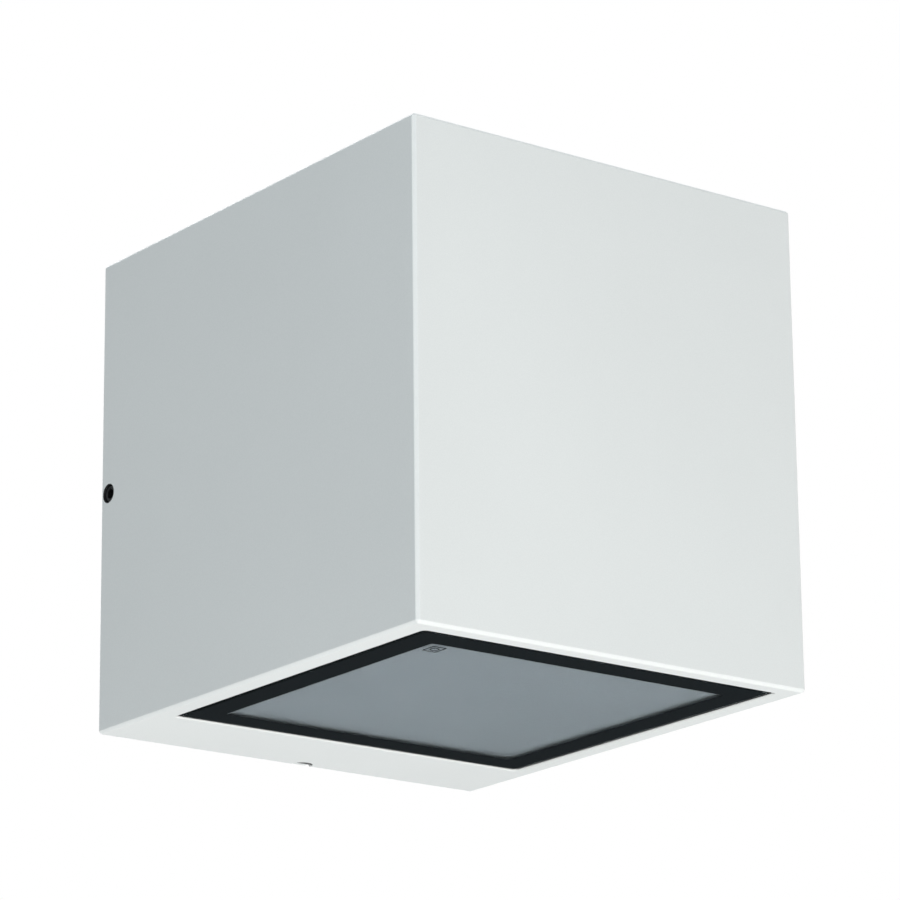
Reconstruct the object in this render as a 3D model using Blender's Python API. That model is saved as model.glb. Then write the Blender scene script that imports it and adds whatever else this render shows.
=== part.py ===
# Outdoor wall light in the form of a cube: a painted cast housing that slides over a wall bracket,
# is held by a set screw in each side, and lights downwards through a flush glass.
# Metres, +Z up, +X to the right as seen from the front, +Y into the wall.
# The origin is the middle of the face that lies on the wall.

import math

import bmesh
import bpy
from mathutils import Matrix, Vector

GAP = 0.0003  # air left between neighbouring pieces

# Housing
WIDTH = 0.142
HEIGHT = 0.150
DEPTH = 0.163
EDGE_RADIUS = 0.0012
EDGE_STEPS = 2
WALL_CLEARANCE = 0.0005  # between the housing's rear edge and the wall
SKIRT = 0.0027  # wall thickness round the rear recess
SIDE_WALL = 0.0055
FRONT_WALL = 0.003
COVER_SEAT_Y = -0.029  # step that the rear cover is screwed to
CHAMBER_FLOOR_Z = -0.0655

# Window in the underside
SIDE_RIM = 0.0067
FRONT_RIM = 0.006
REAR_RIM = 0.0325
WINDOW_CORNER = 0.0015
SEAT_DEPTH = 0.0059
APERTURE_INSET = 0.0068
GLASS_RECESS = 0.0003
GLASS_THICKNESS = 0.004
GLASS_CHAMFER = 0.0008
SEAL_LIP = 0.0006
SEAL_FLAT = 0.001
SEAL_WIDTH = 0.0085
DIFFUSER_THICKNESS = 0.002
DIFFUSER_CLEARANCE = 0.0004

# Cast bosses inside the housing
COVER_BOSS = 0.011
COVER_BOSS_LENGTH = 0.0095
COVER_SCREW_INSET = 0.005
BOSS_OVERLAP = 0.001  # how far a boss runs into the wall that carries it
POST_RADIUS = 0.0045
POST_HOLE_DEPTH = 0.010
GRUB_BOSS_HEIGHT = 0.016
GRUB_BOSS_DEPTH = 0.012

# Set screws, one in each side near the wall
GRUB_HOLE_RADIUS = 0.00295
GRUB_RADIUS = 0.0026
GRUB_TIP_RADIUS = 0.0018
GRUB_LENGTH = 0.0069
GRUB_SOCKET = 0.0015
GRUB_SOCKET_DEPTH = 0.0024
GRUB_Y = -0.0049
GRUB_BOSS_INSET = 0.0075  # from the side face to the inner face of the boss

# Drain notch in the lower rear edge
DRAIN_X = 0.0034
DRAIN_RADIUS = 0.0035
DRAIN_DEPTH = 0.005

# Wall bracket, its gasket and its cable grommet
GASKET_THICKNESS = 0.0017
GASKET_INSET = 0.0012
GASKET_CLEARANCE = 0.0008  # how much wider the gasket's holes are than the bracket's
BRACKET_THICKNESS = 0.0025
TAB_HALF_HEIGHT = 0.018
TAB_REACH = 0.0145
FLANGE_REACH = 0.0085
FLANGE_HALF_WIDTH = 0.045
FOOT_HALF_WIDTH = 0.0023  # centring foot that stands in the drain notch
FOOT_FRONT_Y = -0.0026
FOOT_ROOT = 0.0005
LOWER_FLANGE_START = 0.020
SLOT_HALF_WIDTH = 0.00275
SLOT_HALF_LENGTH = 0.008
UPPER_SLOT_Z = 0.050
LOWER_SLOT_Z = -0.055
CABLE_HOLE_RADIUS = 0.008
CABLE_HOLE_Z = -0.028
GROMMET_BORE = 0.0045
GROMMET_FLANGE = 0.0096
GROMMET_FLANGE_THICKNESS = 0.0013

# Heat plate, board and reflector
PLATE_UNDERSIDE_Z = 0.010
PLATE_THICKNESS = 0.004
PLATE_CLEARANCE = 0.002  # to the aperture that the plate is passed in through
POST_INSET = 0.005
PAD_HALF = (0.029, 0.027)
PAD_THICKNESS = 0.0005
BOARD_HALF = (0.0385, 0.0365)
BOARD_THICKNESS = 0.0016
BOARD_SCREW_INSET = 0.0045
LED_PITCH = 0.022
LED_HALF = 0.0025
LED_BASE = 0.001
LED_DOME_RADIUS = 0.0022
LED_DOME = 0.0018
REFLECTOR_WALL = 0.0012
REFLECTOR_THROAT = 0.001  # margin round the board
REFLECTOR_FLANGE = 0.008
REFLECTOR_FLANGE_THICKNESS = 0.0015
REFLECTOR_SCREW_INSET = 0.0034

# Driver on top of the heat plate
DRIVER_HALF = (0.040, 0.020)
DRIVER_HEIGHT = 0.0207
DRIVER_WALL = 0.0015
DRIVER_EAR_LENGTH = 0.010
DRIVER_EAR_HALF_WIDTH = 0.006
DRIVER_EAR_THICKNESS = 0.002
DRIVER_EAR_OFFSET = 0.011
DRIVER_SCREW_REACH = 0.0052
DRIVER_RIB = 0.003
DRIVER_RIB_X = 0.028
DRIVER_BOARD_Z = 0.021
DRIVER_BOARD_THICKNESS = 0.0016
DRIVER_BOARD_MARGIN = 0.0015
TRANSFORMER_SIZE = (0.022, 0.017, 0.0105)
TRANSFORMER_X = 0.005
CAPACITOR_RADIUS = 0.0055
CAPACITOR_HEIGHT = 0.0105
CAPACITOR_X = -0.022

# Rear cover
COVER_GASKET_THICKNESS = 0.0015
COVER_THICKNESS = 0.003
ENTRY_BOX_X = (-0.0445, -0.0175)
ENTRY_BOX_Z = (0.030, 0.058)
ENTRY_BOX_HEIGHT = 0.0164
ENTRY_BOX_WALL = 0.0025
NUT_BOSS_RADIUS = 0.0035
NUT_BOSS_LENGTH = 0.004
NUT_BOSS_FLOOR = 0.0009

# Cable gland
GLAND_X = -0.031
GLAND_Y = -0.0172
GLAND_THREAD = 0.0047
GLAND_HEX = 0.006
GLAND_BORE = 0.0028
GLAND_FLANGE_THICKNESS = 0.003
GLAND_THREAD_LENGTH = 0.0085
GLAND_STUB = 0.0044
GLAND_STUB_LENGTH = 0.0065
GLAND_SEAL_LENGTH = 0.0029
GLAND_NUT_LENGTH = 0.012
GLAND_NUT_ROUNDING = 0.0036
GLAND_LOCKNUT_THICKNESS = 0.003

# Terminal block
POLE_PITCH = 0.006
BLOCK_HALF_WIDTH = 0.0095
BLOCK_Z = (-0.0275, -0.0085)
BLOCK_THICKNESS = 0.0085
BLOCK_EAR = 0.007
BLOCK_EAR_THICKNESS = 0.003
WIRE_PORT_Y = -0.0195
MAINS_PORT_Y = -0.0205
MAINS_PORT_RADIUS = 0.0019
MAINS_PORT_DEPTH = 0.008
BOND_PORT_DEPTH = 0.0016
LEVER_PIVOT_Y = -0.0162
LEVER_PIVOT_Z = -0.0135
LEVER_ROOT = 0.0009
LEVER_HALF_WIDTH = 0.0023
LEVER_LENGTH = 0.0085
LEVER_NOSE = 0.0016
LEVER_NOSE_RISE = 0.0008
LEVER_THICKNESS = 0.0016

# Earth ring and pressure vent on the rear cover
EARTH_POINT = (-0.008, -0.012)
EARTH_RING_RADIUS = 0.0036
EARTH_RING_THICKNESS = 0.0008
EARTH_TONGUE_HALF = 0.0015
EARTH_TONGUE_LENGTH = 0.008
VENT_POINT = (0.034, -0.034)
VENT_STEM = 0.004
VENT_HEX = 0.006
VENT_HEX_THICKNESS = 0.0016
VENT_CAP = 0.005
VENT_CAP_THICKNESS = 0.0016
VENT_STEM_LENGTH = 0.0068

# Cables and leads
CABLE_RADIUS = 0.0024
WIRE_RADIUS = 0.0009
WIRE_HOLE_RADIUS = 0.0013
WIRE_SPREAD = 0.0013       # from the cable's axis to each wire where the sheath ends
WIRE_STRAIGHT = 0.003
WIRE_PORT_DEPTH = 0.003
WIRE_IN_PORT = 0.002
SHEATH_END_Z = 0.006
# The cable's bend through the cable box, as (y, z) in the plane x = GLAND_X
CABLE_ROUTE = (
    (-0.0677, 0.0258), (-0.056, 0.0295), (-0.045, 0.0385), (-0.036, 0.0465), (-0.0275, 0.0495),
    (-0.0203, 0.0465), (-0.0173, 0.0395), (-0.0172, 0.031), (-0.0172, 0.018),
)
BOND_STRAIGHT = 0.001
BOND_BEND = 0.004
LED_LEAD_STRAIGHT = 0.004
LED_LEAD_BEND = 0.003
LED_LEAD_SAG = 0.0008
LED_LEAD_SPACING = 0.004
LED_LEAD_Y = 0.0315  # how far in front of the board's middle the leads pass down
DRIVER_LEAD_Z = 0.020
DRIVER_CABLE_Z = 0.0255

# Screws: thread radius, length, head radius, head height and half of the hexagon socket's width
COVER_SCREW = (0.0017, 0.0125, 0.0036, 0.0023, 0.00125)
POST_SCREW = (0.0017, 0.012, 0.0034, 0.0023, 0.00125)
SMALL_SCREW = (0.00125, 0.0055, 0.0024, 0.0016, 0.001)
LONG_SMALL_SCREW = (0.00125, 0.0072, 0.0026, 0.0018, 0.001)
HOLE_MARGIN = 0.00035  # how much wider a screw's hole is than its thread
POINT_LENGTH = 0.0006

ROUND_STEPS = 24
SMALL_STEPS = 12
LED_STEPS = 16
CORNER_STEPS = 2
SPAN_STEPS = 4  # points along a lead between two points of its route
SHARP_ANGLE = math.radians(35)

# Levels and half sizes that several pieces share
HALF_X = WIDTH / 2
HALF_Z = HEIGHT / 2
FRONT_Y = -DEPTH
SKIRT_X = HALF_X - SKIRT
SKIRT_Z = HALF_Z - SKIRT
CHAMBER_X = HALF_X - SIDE_WALL
CHAMBER_TOP_Z = HALF_Z - SIDE_WALL
CHAMBER_FRONT_Y = FRONT_Y + FRONT_WALL
WINDOW_HALF_X = HALF_X - SIDE_RIM
WINDOW_HALF_Y = (DEPTH - FRONT_RIM - REAR_RIM) / 2
WINDOW_Y = FRONT_Y + FRONT_RIM + WINDOW_HALF_Y
SEAT_Z = -HALF_Z + SEAT_DEPTH
APERTURE_HALF_X = WINDOW_HALF_X - APERTURE_INSET
APERTURE_HALF_Y = WINDOW_HALF_Y - APERTURE_INSET
DIFFUSER_HALF_X = APERTURE_HALF_X - DIFFUSER_CLEARANCE
DIFFUSER_HALF_Y = APERTURE_HALF_Y - DIFFUSER_CLEARANCE
PLATE_HALF_X = APERTURE_HALF_X - PLATE_CLEARANCE
PLATE_HALF_Y = APERTURE_HALF_Y - PLATE_CLEARANCE
PLATE_TOP_Z = PLATE_UNDERSIDE_Z + PLATE_THICKNESS
BOARD_TOP_Z = PLATE_UNDERSIDE_Z - 2 * GAP - PAD_THICKNESS
BOARD_UNDERSIDE_Z = BOARD_TOP_Z - BOARD_THICKNESS
DRIVER_FLOOR_Z = PLATE_TOP_Z + GAP
COVER_GASKET_BACK_Y = COVER_SEAT_Y + GAP + COVER_GASKET_THICKNESS
COVER_FRONT_Y = COVER_GASKET_BACK_Y + GAP
COVER_BACK_Y = COVER_FRONT_Y + COVER_THICKNESS
BRACKET_BACK_Y = -GASKET_THICKNESS - GAP
BRACKET_FRONT_Y = BRACKET_BACK_Y - BRACKET_THICKNESS
GRUB_BOSS_X = HALF_X - GRUB_BOSS_INSET
BRACKET_X = GRUB_BOSS_X - GAP
BRACKET_Z = SKIRT_Z - GAP

RIGHT = Vector((1, 0, 0))
TO_WALL = Vector((0, 1, 0))
UP = Vector((0, 0, 1))


# Materials

def make_material(name, colour, roughness, metallic=0.0, alpha=1.0):
    material = bpy.data.materials.new(name)
    material.use_nodes = True
    shader = material.node_tree.nodes["Principled BSDF"]
    shader.inputs["Base Color"].default_value = (*colour, 1.0)
    shader.inputs["Roughness"].default_value = roughness
    shader.inputs["Metallic"].default_value = metallic
    shader.inputs["Alpha"].default_value = alpha
    return material


def make_materials():
    return {
        "paint": make_material("white_powder_coat", (0.72, 0.75, 0.75), 0.55),
        "glass": make_material("clear_glass", (0.26, 0.29, 0.31), 0.1, alpha=0.35),
        "opal": make_material("satin_opal_plastic", (0.55, 0.60, 0.63), 0.5),
        "silicone": make_material("black_silicone", (0.015, 0.017, 0.018), 0.5),
        "foam": make_material("grey_foam", (0.12, 0.12, 0.13), 0.9),
        "black_steel": make_material("black_oxide_steel", (0.05, 0.05, 0.05), 0.35, 1.0),
        "stainless": make_material("stainless_steel", (0.50, 0.50, 0.50), 0.28, 1.0),
        "aluminium": make_material("bare_aluminium", (0.66, 0.67, 0.68), 0.4, 1.0),
        "white_plastic": make_material("white_plastic", (0.86, 0.86, 0.84), 0.3),
        "board": make_material("white_solder_mask", (0.80, 0.82, 0.80), 0.4),
        "phosphor": make_material("yellow_phosphor", (0.85, 0.62, 0.12), 0.25),
        "pad": make_material("pink_gap_pad", (0.62, 0.35, 0.38), 0.8),
        "grey_plastic": make_material("grey_plastic", (0.30, 0.31, 0.32), 0.5),
        "nylon": make_material("black_nylon", (0.03, 0.03, 0.03), 0.45),
        "green_board": make_material("green_circuit_board", (0.02, 0.16, 0.06), 0.4),
        "copper": make_material("enamelled_copper", (0.60, 0.25, 0.10), 0.35, 1.0),
        "sleeve": make_material("capacitor_sleeve", (0.02, 0.03, 0.08), 0.35),
        "cable": make_material("black_rubber_cable", (0.02, 0.02, 0.02), 0.6),
        "brown": make_material("brown_insulation", (0.16, 0.06, 0.02), 0.4),
        "blue": make_material("blue_insulation", (0.02, 0.12, 0.45), 0.4),
        "earth": make_material("green_yellow_insulation", (0.20, 0.45, 0.04), 0.4),
        "red": make_material("red_insulation", (0.55, 0.02, 0.02), 0.4),
        "black": make_material("black_insulation", (0.02, 0.02, 0.02), 0.4),
        "orange": make_material("orange_plastic", (0.85, 0.22, 0.02), 0.4),
        "brass": make_material("tinned_brass", (0.70, 0.62, 0.40), 0.3, 1.0),
    }


# Building blocks

def clear_scene():
    for thing in list(bpy.data.objects):
        bpy.data.objects.remove(thing, do_unlink=True)


def add_object(name, data, location=(0, 0, 0), material=None, parent=None):
    thing = bpy.data.objects.new(name, data)
    thing.location = location
    bpy.context.scene.collection.objects.link(thing)
    if material:
        data.materials.append(material)
    if parent:
        thing.parent = parent
    return thing


def add_empty(name, location=(0, 0, 0), parent=None):
    thing = add_object(name, None, location, parent=parent)
    thing.empty_display_size = POST_RADIUS
    return thing


def mesh_from(bm, name, smooth=True):
    bmesh.ops.recalc_face_normals(bm, faces=bm.faces)
    mesh = bpy.data.meshes.new(name)
    bm.to_mesh(mesh)
    bm.free()
    if smooth:
        mesh.shade_smooth()
        mesh.set_sharp_from_angle(angle=SHARP_ANGLE)
    return mesh


def add_box(bm, low, high):
    low, high = Vector(low), Vector(high)
    place = Matrix.Translation((low + high) / 2) @ Matrix.Diagonal((*(high - low), 1))
    bmesh.ops.create_cube(bm, size=1, matrix=place)


def add_rod(bm, start, end, radius, steps=SMALL_STEPS):
    start, end = Vector(start), Vector(end)
    along = end - start
    turn = UP.rotation_difference(along).to_matrix().to_4x4()
    place = Matrix.Translation((start + end) / 2) @ turn
    bmesh.ops.create_cone(bm, cap_ends=True, segments=steps, radius1=radius, radius2=radius,
                          depth=along.length, matrix=place)


def box_object(name, low, high, material, parent, rounding=0.0):
    low, high = Vector(low), Vector(high)
    centre = (low + high) / 2
    bm = bmesh.new()
    add_box(bm, low - centre, high - centre)
    thing = add_object(name, mesh_from(bm, name, smooth=False), centre, material, parent)
    if rounding:
        round_edges(thing, rounding)
    return thing


def round_edges(thing, radius, steps=1):
    bevel = thing.modifiers.new("rounded_edges", "BEVEL")
    bevel.width = radius
    bevel.segments = steps
    bevel.limit_method = "ANGLE"


def combine(thing, operation, bm, label):
    """Cuts the shapes in bm out of thing, or adds them to it."""
    helper = add_object(label, mesh_from(bm, label, smooth=False), parent=None)
    helper.hide_render = True
    helper.display_type = "WIRE"
    boolean = thing.modifiers.new(label, "BOOLEAN")
    boolean.operation = operation
    boolean.object = helper
    boolean.solver = "EXACT"


def cut(thing, bm, label):
    combine(thing, "DIFFERENCE", bm, f"{thing.name}_{label}_cutter")


def join(thing, bm, label):
    combine(thing, "UNION", bm, f"{thing.name}_{label}_addition")


def outline_radius(shape, size, angle):
    """Distance from the middle to a circle, hexagon or square of half width size."""
    if shape == "hex":
        return size / math.cos(angle % (math.pi / 3) - math.pi / 6)
    if shape == "square":
        return size / max(abs(math.cos(angle)), abs(math.sin(angle)))
    return size


def ring(shape, size, height, steps):
    points = []
    for step in range(steps):
        angle = 2 * math.pi * step / steps
        radius = outline_radius(shape, size, angle)
        points.append(Vector((radius * math.cos(angle), radius * math.sin(angle), height)))
    return points


def rounded_rectangle(half_x, half_y, corner, height):
    points = []
    for quarter, (side_x, side_y) in enumerate(((1, 1), (-1, 1), (-1, -1), (1, -1))):
        middle = Vector((side_x * (half_x - corner), side_y * (half_y - corner), height))
        for step in range(CORNER_STEPS + 1):
            angle = (quarter + step / CORNER_STEPS) * math.pi / 2
            points.append(middle + corner * Vector((math.cos(angle), math.sin(angle), 0)))
    return points


def skin(name, rings, closed):
    """Mesh stretched over rings of points: a loop of rings if closed, otherwise capped at both ends."""
    bm = bmesh.new()
    loops = [[bm.verts.new(point) for point in points] for points in rings]
    pairs = list(zip(loops, loops[1:]))
    if closed:
        pairs.append((loops[-1], loops[0]))
    else:
        bm.faces.new(loops[0])
        bm.faces.new(loops[-1])
    for lower, upper in pairs:
        for here in range(len(lower)):
            after = (here + 1) % len(lower)
            bm.faces.new((lower[here], lower[after], upper[after], upper[here]))
    return mesh_from(bm, name)


def turned_mesh(name, profile, closed, steps=ROUND_STEPS):
    """Profile entries are an outline shape, its half width and its height along local +Z."""
    return skin(name, [ring(shape, size, height, steps) for shape, size, height in profile], closed)


def aim(thing, direction):
    """Turns local +Z to the given direction."""
    thing.rotation_mode = "QUATERNION"
    thing.rotation_quaternion = UP.rotation_difference(direction)


def screw_mesh(name, sizes):
    """The head stands on local z = 0 with its hexagon socket up, and the thread hangs below."""
    thread, length, head, height, socket = sizes
    return turned_mesh(name, (
        ("round", thread - POINT_LENGTH, -length),
        ("round", thread, -length + POINT_LENGTH),
        ("round", thread, 0),
        ("round", head, 0),
        ("round", head, height * 0.55),
        ("round", head * 0.8, height),
        ("hex", socket, height),
        ("hex", socket, height * 0.35),
    ), closed=False, steps=SMALL_STEPS)


def add_screws(name, mesh, seats, direction, material, parent):
    numbered = len(seats) > 1
    for number, seat in enumerate(seats, start=1):
        label = f"{name}_{number}" if numbered else name
        thing = add_object(label, mesh, seat, parent=parent)
        aim(thing, direction)
    mesh.materials.append(material)


def smooth_route(route):
    """Points of one smooth curve that passes through every point of the route."""
    route = [Vector(point) for point in route]
    padded = [2 * route[0] - route[1]] + route + [2 * route[-1] - route[-2]]
    points = []
    for before, start, end, after in zip(padded, padded[1:], padded[2:], padded[3:]):
        for step in range(SPAN_STEPS):
            t = step / SPAN_STEPS
            points.append(0.5 * (
                2 * start
                + (end - before) * t
                + (2 * before - 5 * start + 4 * end - after) * t ** 2
                + (3 * start - before - 3 * end + after) * t ** 3
            ))
    points.append(route[-1])
    return points


def add_lead(name, route, radius, material, parent):
    points = smooth_route(route)
    curve = bpy.data.curves.new(name, "CURVE")
    curve.dimensions = "3D"
    curve.bevel_depth = radius
    curve.bevel_resolution = 2
    curve.use_fill_caps = True
    spline = curve.splines.new("POLY")
    spline.points.add(len(points) - 1)
    for spot, point in zip(spline.points, points):
        spot.co = (*point, 1)
    return add_object(name, curve, material=material, parent=parent)


def corners(half_x, half_y, centre_y=0.0):
    return [(side_x * half_x, centre_y + side_y * half_y)
            for side_x in (-1, 1) for side_y in (-1, 1)]


# Places of the fixings

def cover_screw_points():
    side = CHAMBER_X - COVER_SCREW_INSET
    top = CHAMBER_TOP_Z - COVER_SCREW_INSET
    bottom = CHAMBER_FLOOR_Z + COVER_SCREW_INSET
    return [(x, z) for x in (-side, side) for z in (bottom, top)]


def post_points():
    return corners(PLATE_HALF_X - POST_INSET, PLATE_HALF_Y - POST_INSET, WINDOW_Y)


def board_screw_points():
    return corners(BOARD_HALF[0] - BOARD_SCREW_INSET, BOARD_HALF[1] - BOARD_SCREW_INSET, WINDOW_Y)


def reflector_screw_points():
    reach = BOARD_HALF[0] + REFLECTOR_THROAT + REFLECTOR_FLANGE - REFLECTOR_SCREW_INSET
    return [(-reach, WINDOW_Y), (reach, WINDOW_Y)]


def driver_screw_points():
    reach = DRIVER_HALF[0] + DRIVER_SCREW_REACH
    return [(side * reach, WINDOW_Y + DRIVER_EAR_OFFSET) for side in (-1, 1)]


def led_lead_points():
    return [(side * LED_LEAD_SPACING, WINDOW_Y - LED_LEAD_Y) for side in (-1, 1)]


def pole_positions():
    return [GLAND_X + step * POLE_PITCH for step in (-1, 0, 1)]


# Housing

def make_housing(paint, parent):
    housing = box_object("housing", (-HALF_X, FRONT_Y, -HALF_Z), (HALF_X, -WALL_CLEARANCE, HALF_Z),
                         paint, parent)
    round_edges(housing, EDGE_RADIUS, EDGE_STEPS)

    recess = bmesh.new()
    add_box(recess, (-SKIRT_X, COVER_SEAT_Y, -SKIRT_Z), (SKIRT_X, SKIRT, SKIRT_Z))
    cut(housing, recess, "rear_recess")

    chamber = bmesh.new()
    add_box(chamber, (-CHAMBER_X, CHAMBER_FRONT_Y, CHAMBER_FLOOR_Z),
            (CHAMBER_X, COVER_SEAT_Y + BOSS_OVERLAP, CHAMBER_TOP_Z))
    cut(housing, chamber, "lamp_chamber")

    cut_window(housing)
    add_bosses(housing)
    cut_holes(housing)
    return housing


def cut_window(housing):
    seat = bmesh.new()
    outline = rounded_rectangle(WINDOW_HALF_X, WINDOW_HALF_Y, WINDOW_CORNER, 0)
    floor = seat.faces.new([seat.verts.new(point + WINDOW_Y * TO_WALL + SEAT_Z * UP)
                            for point in outline])
    grown = bmesh.ops.extrude_face_region(seat, geom=[floor])["geom"]
    lowered = [item for item in grown if isinstance(item, bmesh.types.BMVert)]
    bmesh.ops.translate(seat, verts=lowered, vec=-(SEAT_DEPTH + SKIRT) * UP)
    cut(housing, seat, "glass_seat")

    aperture = bmesh.new()
    add_box(aperture,
            (-APERTURE_HALF_X, WINDOW_Y - APERTURE_HALF_Y, SEAT_Z - BOSS_OVERLAP),
            (APERTURE_HALF_X, WINDOW_Y + APERTURE_HALF_Y, CHAMBER_FLOOR_Z + BOSS_OVERLAP))
    cut(housing, aperture, "light_aperture")


def add_bosses(housing):
    bosses = bmesh.new()
    front = COVER_SEAT_Y - COVER_BOSS_LENGTH
    for side in (-1, 1):
        inner, outer = sorted((side * (CHAMBER_X - COVER_BOSS), side * (CHAMBER_X + BOSS_OVERLAP)))
        add_box(bosses, (inner, front, CHAMBER_TOP_Z - COVER_BOSS),
                (outer, COVER_SEAT_Y, CHAMBER_TOP_Z + BOSS_OVERLAP))
        add_box(bosses, (inner, front, CHAMBER_FLOOR_Z - BOSS_OVERLAP),
                (outer, COVER_SEAT_Y, CHAMBER_FLOOR_Z + COVER_BOSS))
        near, far = sorted((side * GRUB_BOSS_X, side * (SKIRT_X + BOSS_OVERLAP)))
        add_box(bosses, (near, -WALL_CLEARANCE - GRUB_BOSS_DEPTH, -GRUB_BOSS_HEIGHT / 2),
                (far, -WALL_CLEARANCE - EDGE_RADIUS, GRUB_BOSS_HEIGHT / 2))
    for x, y in post_points():
        add_rod(bosses, (x, y, PLATE_TOP_Z + GAP), (x, y, CHAMBER_TOP_Z + BOSS_OVERLAP), POST_RADIUS)
    join(housing, bosses, "boss")


def cut_holes(housing):
    holes = bmesh.new()
    for x, z in cover_screw_points():
        add_rod(holes, (x, COVER_SEAT_Y + SKIRT, z),
                (x, COVER_SEAT_Y - COVER_BOSS_LENGTH + BOSS_OVERLAP, z), COVER_SCREW[0] + HOLE_MARGIN)
    for x, y in post_points():
        add_rod(holes, (x, y, PLATE_UNDERSIDE_Z), (x, y, PLATE_TOP_Z + POST_HOLE_DEPTH),
                POST_SCREW[0] + HOLE_MARGIN)
    for side in (-1, 1):
        add_rod(holes, (side * (GRUB_BOSS_X - SKIRT), GRUB_Y, 0), (side * (HALF_X + SKIRT), GRUB_Y, 0),
                GRUB_HOLE_RADIUS, ROUND_STEPS)
    cut(housing, holes, "screw_hole")

    centre_y = -WALL_CLEARANCE - DRAIN_DEPTH + DRAIN_RADIUS
    low, high = -HALF_Z - SKIRT, -SKIRT_Z + SKIRT
    drain_end = bmesh.new()
    add_rod(drain_end, (DRAIN_X, centre_y, low), (DRAIN_X, centre_y, high), DRAIN_RADIUS, ROUND_STEPS)
    cut(housing, drain_end, "drain_end")
    drain = bmesh.new()
    add_box(drain, (DRAIN_X - DRAIN_RADIUS, centre_y, low), (DRAIN_X + DRAIN_RADIUS, SKIRT, high))
    cut(housing, drain, "drain")


# Window: glass, the silicone it is bonded in, and the diffuser that the silicone's flat carries

def make_window(materials, parent):
    bottom = -HALF_Z + GLASS_RECESS
    top = bottom + GLASS_THICKNESS
    middle = (0, WINDOW_Y, 0)

    def outline(inset, height):
        return rounded_rectangle(WINDOW_HALF_X - inset, WINDOW_HALF_Y - inset, WINDOW_CORNER, height)

    edge = SEAL_LIP + 2 * GAP
    glass = skin("lens_glass", (
        outline(edge + GLASS_CHAMFER, bottom),
        outline(edge, bottom + GLASS_CHAMFER),
        outline(edge, top - GLASS_CHAMFER),
        outline(edge + GLASS_CHAMFER, top),
    ), closed=False)
    add_object("lens_glass", glass, middle, materials["glass"], parent)

    flat_low = top + GAP
    flat_high = flat_low + SEAL_FLAT
    seal = skin("lens_seal", (
        outline(GAP, bottom + GAP),
        outline(GAP, flat_high),
        outline(GAP + SEAL_WIDTH, flat_high),
        outline(GAP + SEAL_WIDTH, flat_low),
        outline(GAP + SEAL_LIP, flat_low),
        outline(GAP + SEAL_LIP, bottom + GAP),
    ), closed=True)
    add_object("lens_seal", seal, middle, materials["silicone"], parent)

    low = flat_high + GAP
    sheet = skin("diffuser", [
        rounded_rectangle(DIFFUSER_HALF_X, DIFFUSER_HALF_Y, WINDOW_CORNER, height)
        for height in (low, low + DIFFUSER_THICKNESS)
    ], closed=False)
    add_object("diffuser", sheet, middle, materials["opal"], parent)


# Light engine: heat plate, pad, board, light-emitting diodes and reflector

def make_light_engine(materials, parent):
    plate = box_object("heat_plate",
                       (-PLATE_HALF_X, WINDOW_Y - PLATE_HALF_Y, PLATE_UNDERSIDE_Z),
                       (PLATE_HALF_X, WINDOW_Y + PLATE_HALF_Y, PLATE_TOP_Z),
                       materials["aluminium"], parent)
    holes = bmesh.new()
    below, above = PLATE_UNDERSIDE_Z - BOSS_OVERLAP, PLATE_TOP_Z + BOSS_OVERLAP
    for x, y in post_points():
        add_rod(holes, (x, y, below), (x, y, above), POST_SCREW[0] + HOLE_MARGIN)
    small = board_screw_points() + reflector_screw_points() + driver_screw_points()
    for x, y in small:
        add_rod(holes, (x, y, below), (x, y, above), SMALL_SCREW[0] + HOLE_MARGIN)
    for x, y in led_lead_points():
        add_rod(holes, (x, y, below), (x, y, above), WIRE_HOLE_RADIUS)
    cut(plate, holes, "screw_hole")
    add_screws("heat_plate_screw", screw_mesh("post_screw", POST_SCREW),
               [(x, y, PLATE_UNDERSIDE_Z - GAP) for x, y in post_points()],
               -UP, materials["stainless"], parent)

    pad_x, pad_y = PAD_HALF
    box_object("thermal_pad", (-pad_x, WINDOW_Y - pad_y, BOARD_TOP_Z + GAP),
               (pad_x, WINDOW_Y + pad_y, PLATE_UNDERSIDE_Z - GAP), materials["pad"], parent)

    board_x, board_y = BOARD_HALF
    board = box_object("led_board", (-board_x, WINDOW_Y - board_y, BOARD_UNDERSIDE_Z),
                       (board_x, WINDOW_Y + board_y, BOARD_TOP_Z), materials["board"], parent)
    holes = bmesh.new()
    below, above = BOARD_UNDERSIDE_Z - BOSS_OVERLAP, BOARD_TOP_Z + BOSS_OVERLAP
    for x, y in board_screw_points():
        add_rod(holes, (x, y, below), (x, y, above), SMALL_SCREW[0] + HOLE_MARGIN)
    for x, y in led_lead_points():
        add_rod(holes, (x, y, below), (x, y, above), WIRE_HOLE_RADIUS)
    cut(board, holes, "hole")
    add_screws("led_board_screw", screw_mesh("board_screw", SMALL_SCREW),
               [(x, y, BOARD_UNDERSIDE_Z - GAP) for x, y in board_screw_points()],
               -UP, materials["stainless"], parent)

    make_leds(materials["phosphor"], parent)
    make_reflector(materials, parent)


def make_leds(phosphor, parent):
    mesh = turned_mesh("led", (
        ("square", LED_HALF, 0),
        ("square", LED_HALF, LED_BASE),
        ("round", LED_DOME_RADIUS, LED_BASE),
        ("round", LED_DOME_RADIUS * 0.9, LED_BASE + LED_DOME * 0.5),
        ("round", LED_DOME_RADIUS * 0.5, LED_BASE + LED_DOME * 0.9),
    ), closed=False, steps=LED_STEPS)
    mesh.materials.append(phosphor)
    for number, (x, y) in enumerate(corners(LED_PITCH / 2, LED_PITCH / 2, WINDOW_Y), start=1):
        led = add_object(f"led_{number}", mesh, (x, y, BOARD_UNDERSIDE_Z - GAP), parent=parent)
        led.rotation_euler = (math.pi, 0, 0)


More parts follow.
